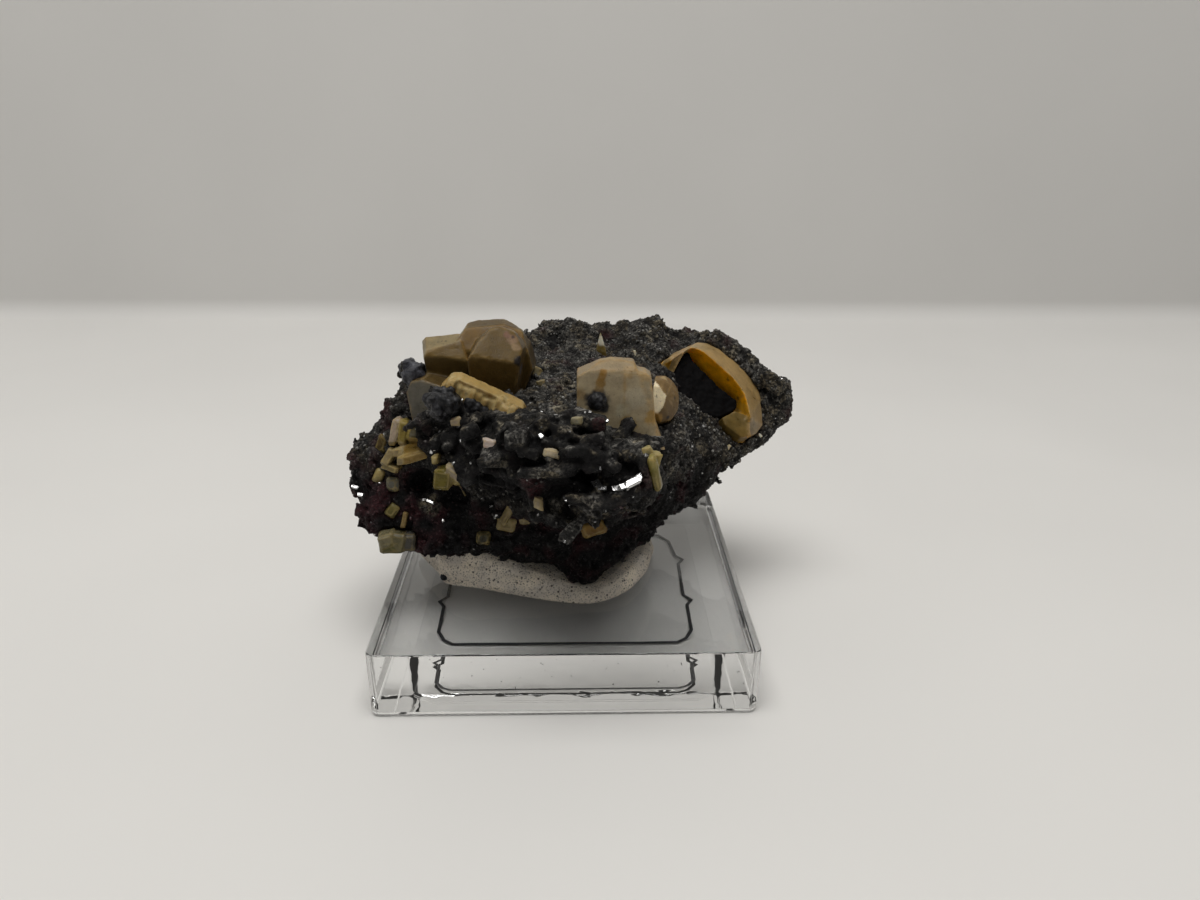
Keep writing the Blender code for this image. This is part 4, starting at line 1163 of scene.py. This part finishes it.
def makeBase():
    material, shader = newMaterial("clearAcrylic")
    swell = softNoise(objectPlace(shader), baseLook["wave"], 2.0, 0.5)
    feed(shader, {"Base Color": full(baseLook["tint"]), "Roughness": 0.0, "IOR": 1.49,
                  "Transmission Weight": 1.0, "Normal": relief(swell, 0.4, 0.05)})
    block = copyNode("acrylic_base", "clearBlock")
    editAll(block)
    bpy.ops.mesh.dissolve_limited(angle_limit=math.radians(1.0))
    backToObject()
    points, _ = pointsOf(block)
    low = points[:, 2].min()
    points[:, 2] -= smooth(low + 2.0, low, points[:, 2]) * (low - baseLook["bottom"])
    movePoints(block, points)
    for face in block.data.polygons:
        face.use_smooth = face.area < (4 * mm) ** 2
    settle(block, material, "clear_acrylic", "acrylic_base")


# Specks of dust on the block's top
def makeDust():
    material, shader = newMaterial("paleDust")
    feed(shader, {"Base Color": full(baseLook["dustTone"]), "Roughness": 0.8})
    dice = np.random.default_rng(baseLook["seed"])
    count, half = baseLook["dust"], baseLook["half"]
    places = np.column_stack((dice.uniform(-half, half, (count, 2)),
                              np.full(count, baseLook["top"] - 0.01)))
    sizes = dice.uniform(*baseLook["dustSize"], (count, 3)) * (1.0, 1.0, 0.5)
    dust = repeatShape("baseDust", ballShape(1), places, np.repeat(np.eye(3)[None], count, 0), sizes)
    settle(dust, material, "putty")


# The film stuck under the block, modelled just inside it so that it shows through the sides too
def makeFilm():
    material, shader = newMaterial("milkyFilm")
    feed(shader, {"Transmission Weight": 1.0, "IOR": 1.02, "Roughness": 0.02,
                  "Base Color": full(filmLook["tint"])})
    film = copyNode("label_film", "milkyFilm")
    points, _ = pointsOf(film)
    low, high = points[:, 2].min(), points[:, 2].max()
    points[:, 2] = filmLook["low"] + (points[:, 2] - low) / (high - low) * filmLook["thick"]
    movePoints(film, points)
    settle(film, material, "clear_film", "label_film")


# A plain plaque border on the film, with cut corners and a small outward point at each side
def makeBorder():
    material, shader = newMaterial("darkInk")
    worn = softNoise(objectPlace(shader), 0.3, 4.0, 0.7)
    feed(shader, {"Base Color": blend(worn, *filmLook["inks"]), "Roughness": 0.6})
    half = filmLook["wide"] / 2
    front, back, notch = filmLook["front"], filmLook["back"], filmLook["notch"]
    right = [(half - notch, back), (half - 0.4 * notch, back - 1.6), (half - 0.3, back - 5.2),
             (half + 0.5, back - 6.2), (half - 0.1, back - 7.2), (half - 0.3, front + 9.0),
             (half + 0.5, front + 8.0), (half - 0.1, front + 7.0), (half - 0.2, front + 2.2),
             (half - 0.5 * notch, front + 0.7), (half - notch, front)]
    outline = right + [(-x, y) for x, y in reversed(right)]
    count = len(outline)
    low, high = filmLook["level"], filmLook["level"] + filmLook["high"]
    points, faces = [], []
    for i in range(count):
        before, here, after = (Vector(outline[(i + k) % count]) for k in (-1, 0, 1))
        into = (here - before).normalized()
        out = (after - here).normalized()
        side = Vector((into.y + out.y, -into.x - out.x)).normalized()
        width = filmLook["line"] / 2 / max(0.5, side.dot(Vector((into.y, -into.x))))
        inner, outer = here - side * width, here + side * width
        points += [(x * mm, y * mm, z * mm) for (x, y), z in
                   ((inner, low), (outer, low), (outer, high), (inner, high))]
        first, second = 4 * i, 4 * ((i + 1) % count)
        faces += [(first + k, first + (k + 1) % 4, second + (k + 1) % 4, second + k)
                  for k in range(4)]
    border = pieceFrom("plaqueBorder", points, faces)
    editAll(border)
    bpy.ops.mesh.normals_make_consistent(inside=False)
    backToObject()
    settle(border, material, "clear_film")


puttyLook = {"body": (0.93, 0.83, 0.68), "grey": (0.68, 0.62, 0.54), "speck": (0.05, 0.042, 0.038),
             "crease": ((0.5, 0.2, 0.0), (-0.2, 0.9, 0.3), (0.6, 0.2, 1.4))}


def makePutty():
    material, shader = newMaterial("mineralTack")
    place = objectPlace(shader)
    large = spread(cellNoise(place, 0.62), 0.24, 0.12, 0.0, 0.9)
    small = spread(cellNoise(place, 0.20), 0.46, 0.22, 0.0, 0.8)
    pepper = spread(softNoise(place, 0.55, 4.0, 0.7), 0.36, 0.62, 0.1, 1.0)
    specks = combine(combine(small, pepper), large, "MAXIMUM")
    clouds = spread(softNoise(place, 2.4, 4.0), 0.35, 0.65)
    colour = blend(specks, blend(clouds, puttyLook["body"], puttyLook["grey"]), puttyLook["speck"])
    height = combine(softNoise(place, 0.4, 5.0, 0.7), specks, "SUBTRACT")
    feed(shader, {"Base Color": colour, "Normal": relief(height, 0.7, 0.10), "Roughness": 0.85})
    putty = copyNode("putty_pad", "puttyPad")
    points, _ = pointsOf(putty)
    floor, top = points[:, 2].min(), baseLook["top"]
    points[:, 2] -= smooth(floor + 1.2, floor, points[:, 2]) * (floor - top - 0.01)
    movePoints(putty, points)
    skinOver(putty, 0.25)
    points, normals = pointsOf(putty)
    folds = noiseAt(points * (0.55, 1.0, 1.6), 1.6, 2.0)
    creases = np.abs(noiseAt(points @ np.array(puttyLook["crease"]), 0.8, 6.0))
    atLeft = smooth(-10.0, -14.0, points[:, 0])
    push = 0.22 * folds - 0.12 * np.abs(noiseAt(points, 0.9, 6.0)) - 0.35 * atLeft * (0.4 - creases)
    push *= smooth(top + 0.1, top + 0.8, points[:, 2])
    movePoints(putty, points + normals * push[:, None])
    settle(putty, material, "putty", "putty_pad", soft=True)
    return putty


# Beads, lumps, glints and chips on the rock

# Round beads grown beside the blade, and a coated lump of small blocks: places and sizes in mm
beadLook = {"middle": (-11.6, -9.9, 29.2), "spread": 1.5, "count": 70, "size": (0.34, 0.56),
            "seed": 14, "tones": ((0.004, 0.004, 0.005), (0.045, 0.045, 0.05)),
            "voxel": 0.11, "layers": ((0.09, 0.35, 2.0),)}
coatedLook = {"middle": (-15.4, -2.6, 29.9), "spread": (0.38, 0.5, 0.48), "size": (1.5, 1.5, 1.35),
              "count": 22, "seed": 17, "tones": ((0.018, 0.018, 0.022), (0.085, 0.088, 0.105)),
              "voxel": 0.13, "layers": ((0.06, 0.8, 3.0), (0.05, 0.3, 5.0))}
# The dark spot on the centre crystal, and the small bead on the putty: picture point, mm
darkBeads = ((597, 401, 0.95, 0.25), (444, 577, 0.42, 0.1), (470, 403, 0.62, 0.25),
             (477, 408, 0.75, 0.3), (484, 411, 0.6, 0.25), (468, 411, 0.8, 0.3), (492, 417, 0.5, 0.2))
glintLook = {"tones": ((0.42, 0.41, 0.39), (0.75, 0.76, 0.78)), "thick": 0.3, "lift": 0.12,
             "spare": 240, "spareSize": (0.10, 0.34), "jitter": 0.10, "seed": 23}
# Satin facets: across, below, width and height in mm, roll
glintPlaces = (
    (597, 484, 0.75, 0.8, 20), (602, 488, 0.8, 0.5, -10), (619, 488, 1.1, 0.5, 8),
    (626, 486, 1.3, 0.6, 18), (633, 482, 1.3, 0.65, 28), (640, 477, 1.1, 0.55, 38),
    (490, 443, 0.7, 0.35, -8),
    (541, 436, 0.35, 0.5, 40), (607, 421, 0.25, 0.28, 0), (355, 487, 0.7, 0.3, -14),
    (361, 495, 0.6, 0.35, -6), (491, 506, 0.35, 0.2, 20), (430, 502, 0.9, 0.25, -24),
    (424, 500, 0.35, 0.25, 10), (443, 521, 0.25, 0.3, 30), (552, 452, 0.5, 0.3, -12),
)
chipLook = {"fall": 1.0, "rimShare": 0.6, "rimWide": 0.18}
chipDice = {"jitter": 0.16, "seed": 27}
chipTip = 12.0
chipLift = -0.05
# Chips of crystal: across, below, width, height and depth in mm, roll, tone
chipPlaces = (
    (728, 447, 0.5, 0.8, 0.5, -30, (0.55, 0.47, 0.33)), (760, 435, 0.55, 0.35, 0.4, -50, (0.7, 0.68, 0.6)),
    (635, 354, 0.3, 0.9, 0.4, 12, (0.66, 0.64, 0.55)), (456, 422, 1.0, 0.8, 0.7, 10, (0.36, 0.28, 0.19)),
    (490, 444, 1.3, 0.9, 0.8, -8, (0.50, 0.42, 0.36)), (551, 453, 1.4, 0.8, 0.9, -14, (0.44, 0.37, 0.26)),
    (537, 373, 1.0, 1.2, 0.8, -20, (0.26, 0.22, 0.13)), (541, 383, 0.8, 0.7, 0.6, 12, (0.20, 0.17, 0.10)),
    (655, 462, 0.8, 1.9, 0.7, -14, (0.22, 0.18, 0.06)), (648, 453, 0.9, 1.1, 0.7, 24, (0.26, 0.22, 0.10)),
    (538, 503, 0.8, 1.1, 0.7, -6, (0.34, 0.28, 0.19)), (577, 421, 0.9, 0.8, 0.7, 0, (0.24, 0.22, 0.15)),
    (465, 495, 0.25, 2.4, 0.3, 28, (0.22, 0.17, 0.11)), (640, 423, 0.7, 0.5, 0.5, 20, (0.22, 0.15, 0.06)),
)
# Outline of the painted shadow inside the crescent, a near-black floor, in pixels, and the plane that it
# lies in
paintedShadowFloor = ((687, 351), (697, 366), (712, 380), (725, 392), (737, 401), (737, 408), (722, 416),
              (708, 419), (694, 414), (682, 404), (674, 391), (672, 379), (679, 362))
shadowFloorLook = {"normal": (0.28, -0.70, 0.65), "through": (17.1, 7.1, 26.8),
             "tones": ((0.0012, 0.0012, 0.0014), (0.006, 0.0055, 0.006)), "thick": 1.6,
             "voxel": 0.14, "layers": ((0.30, 1.1, 3.0), (0.14, 0.4, 8.0))}


def beadMaterial(title, dark, pale, rough):
    material, shader = newMaterial(title)
    clouds = softNoise(objectPlace(shader), 0.5, 5.0, 0.7)
    feed(shader, {"Base Color": blend(spread(clouds, 0.42, 0.66), dark, pale),
                  "Roughness": spread(clouds, 0.3, 0.7, rough + 0.2, rough),
                  "Normal": relief(clouds, 0.8, 0.08), "Specular IOR Level": 0.28})
    return material


# Fuses a lump and roughens it by layers of noise, each with its height, size and shift
def fuseLump(lump, look, material, way=None):
    skinOver(lump, look["voxel"])
    points, normals = pointsOf(lump)
    push = sum(height * noiseAt(points, size, shift) for height, size, shift in look["layers"])
    movePoints(lump, keepIn(points + (normals if way is None else way) * push[:, None]))
    settle(lump, material, "rock", "matrix_rock", soft=True)


def makeBeads(surface):
    dice = np.random.default_rng(beadLook["seed"])
    count = beadLook["count"]
    ways = unit(dice.normal(size=(count, 3)))
    places = np.array(beadLook["middle"]) + ways * beadLook["spread"] * dice.uniform(0.5, 1.0, (count, 1))
    sizes = np.repeat(dice.uniform(*beadLook["size"], (count, 1)), 3, axis=1)
    beads = repeatShape("darkBeads", ballShape(2), places, axesFrom(ways, dice), sizes)
    rows = [(frontOf(surface, across, below, -sunk), np.eye(3), (radius,) * 3)
            for across, below, radius, sunk in darkBeads]
    joinInto(beads, [repeatShape("bead", ballShape(3), *zip(*rows))])
    fuseLump(beads, beadLook, beadMaterial("darkBeads", *beadLook["tones"], 0.36))


def makeCoatedLump():
    dice = np.random.default_rng(coatedLook["seed"])
    count = coatedLook["count"]
    places = np.array(coatedLook["middle"]) + dice.normal(size=(count, 3)) * coatedLook["spread"]
    sizes = np.array(coatedLook["size"]) * dice.uniform(0.4, 0.75, (count, 1))
    up = unit(dice.normal(size=(count, 3)))
    lump = repeatShape("coatedLump", blockShape(), places, axesFrom(up, dice), sizes * 1.5)
    fuseLump(lump, coatedLook, beadMaterial("greyCoating", *coatedLook["tones"], 0.3))


# Thin satin facets, turned so that the lamp above shows in those that face the front
def makeGlints(rock, surface):
    material, shader = newMaterial("satinFacets")
    clouds = softNoise(objectPlace(shader), 0.35, 4.0, 0.6)
    feed(shader, {"Base Color": blend(clouds, *glintLook["tones"]), "Metallic": 0.85,
                  "Roughness": spread(clouds, 0.3, 0.7, 0.12, 0.34),
                  "Normal": relief(clouds, 0.5, 0.05)})
    lamp = Vector(roomLook["lampAt"])
    places, axes, sizes = [], [], []
    right = cameraAxes()[0]
    for across, below, wide, high, roll in glintPlaces:
        place = frontOf(surface, across, below, glintLook["lift"])
        half = (Vector(camera["place"]) - place).normalized() + (lamp - place).normalized()
        half.normalize()
        along = Quaternion(half, math.radians(roll)) @ (right - half * right.dot(half)).normalized()
        places.append(place)
        axes.append((along, half.cross(along), half))
        sizes.append((wide, high, glintLook["thick"]))
    dice = np.random.default_rng(glintLook["seed"])
    count = glintLook["spare"]
    spare, normals = spreadOver(rock, count, dice, lambda at, facing: np.ones(len(at)))
    up = unit(normals + dice.normal(size=normals.shape) * 0.5)
    spareSizes = dice.uniform(*glintLook["spareSize"], (count, 3)) * (1, 1, 0.5)
    facets = repeatShape("satinFacets", blockShape(), np.vstack((places, spare)),
                         np.concatenate((axes, axesFrom(up, dice))), np.vstack((sizes, spareSizes)),
                         glintLook["jitter"], dice)
    settle(facets, material, "rock", "matrix_rock")


def makeChips(surface, material):
    rows = [(frontOf(surface, across, below, chipLift), pictureAxes(roll, chipTip),
             (wide, deep, high), tone)
            for across, below, wide, high, deep, roll, tone in chipPlaces]
    chips, look = paintedBlocks("crystalChips", rows, chipLook, **chipDice)
    finishCrystal(chips, look, material, "olive_crystal", "matrix_rock")


def makePaintedShadowFloor():
    # Painted shadow: a near-black slab set where the crescent shades the rock below it
    material, shader = newMaterial("paintedShadowFloor")
    fine = softNoise(objectPlace(shader), 0.3, 4.0, 0.7)
    feed(shader, {"Base Color": blend(fine, *shadowFloorLook["tones"]), "Roughness": 0.8,
                  "Normal": relief(fine, 0.35, 0.05), "Specular IOR Level": 0.08})
    normal, through = Vector(shadowFloorLook["normal"]).normalized(), Vector(shadowFloorLook["through"])
    outline = [onPlane(*point, through, normal) for point in paintedShadowFloor]
    slab = slabFrom("paintedShadowFloor", outline, -normal * shadowFloorLook["thick"])
    fuseLump(slab, shadowFloorLook, material, np.array(normal))


# Floor, wall and light

roomLook = {"floor": (0.80, 0.79, 0.77), "wall": (0.74, 0.73, 0.71), "wallAt": 149.0,
            "sweep": 5.0, "reach": 700.0, "below": 0.02,
            "lamp": 2.35, "lampAt": (-35.0, -120.0, 550.0), "lampSize": (420.0, 300.0),
            "lampTurn": (-12, 2, 0), "lampTone": (1.0, 0.985, 0.955),
            "sky": 0.17, "skyTone": (1.0, 0.985, 0.96)}


# One sheet: the floor, a small sweep and the wall
def makeRoom():
    material, shader = newMaterial("paleBackdrop")
    place = objectPlace(shader)
    mottle = spread(softNoise(place, 70.0, 2.0), 0.3, 0.7, 0.955, 1.0)
    height = addNode(place.id_data, "ShaderNodeSeparateXYZ", {"Vector": place}).outputs["Z"]
    colour = blend(spread(height, 0.0, roomLook["sweep"] * mm), roomLook["floor"], roomLook["wall"])
    feed(shader, {"Base Color": shaded(colour, mottle), "Roughness": 0.8})
    far, wall, sweep = roomLook["reach"], roomLook["wallAt"], roomLook["sweep"]
    profile = [(-far, 0.0), (wall - sweep, 0.0)]
    for turn in range(10, 100, 10):
        angle = math.radians(turn)
        profile.append((wall - sweep + sweep * math.sin(angle), sweep - sweep * math.cos(angle)))
    profile.append((wall, 2 * far))
    points = [(x * mm, y * mm, (z - roomLook["below"]) * mm) for y, z in profile
              for x in (-far, far)]
    faces = [(2 * i, 2 * i + 1, 2 * i + 3, 2 * i + 2) for i in range(len(profile) - 1)]
    backdrop = pieceFrom("paleBackdrop", points, faces)
    backdrop.data.materials.append(material)
    takeUp(backdrop)
    bpy.ops.object.shade_smooth()


def makeLight():
    world = bpy.data.worlds.new("softSky")
    world.use_nodes = True
    feed(world.node_tree.nodes["Background"],
         {"Color": full(roomLook["skyTone"]), "Strength": roomLook["sky"]})
    bpy.context.scene.world = world
    data = bpy.data.lights.new("overhead", "AREA")
    data.shape = "RECTANGLE"
    data.size, data.size_y = (side * mm for side in roomLook["lampSize"])
    data.energy = roomLook["lamp"]
    data.color = roomLook["lampTone"]
    lamp = addPiece("overhead", data)
    lamp.location = Vector(roomLook["lampAt"]) * mm
    lamp.rotation_euler = [math.radians(turn) for turn in roomLook["lampTurn"]]
    bpy.context.scene.view_settings.view_transform = "Standard"
    bpy.context.scene.view_settings.look = "None"


makeCamera()
makeRoom()
makeLight()
print("room and light")
crystals = makeCrystals()
makeBase()
makeDust()
makeFilm()
makeBorder()
putty = makePutty()
print("base, film and putty")
neighbours = surfaceOf(crystals + [putty])
rock, rockSurface = makeRock(rockMaterial(), neighbours)
makeGrains(rock, grainMaterial(), neighbours)
makeBeads(neighbours)
makeCoatedLump()
makeGlints(rock, rockSurface)
makeChips(rockSurface, bpy.data.materials["oliveCrystal"])
makePaintedShadowFloor()
bpy.data.objects.remove(rock)
print("beads, lumps, glints and chips")
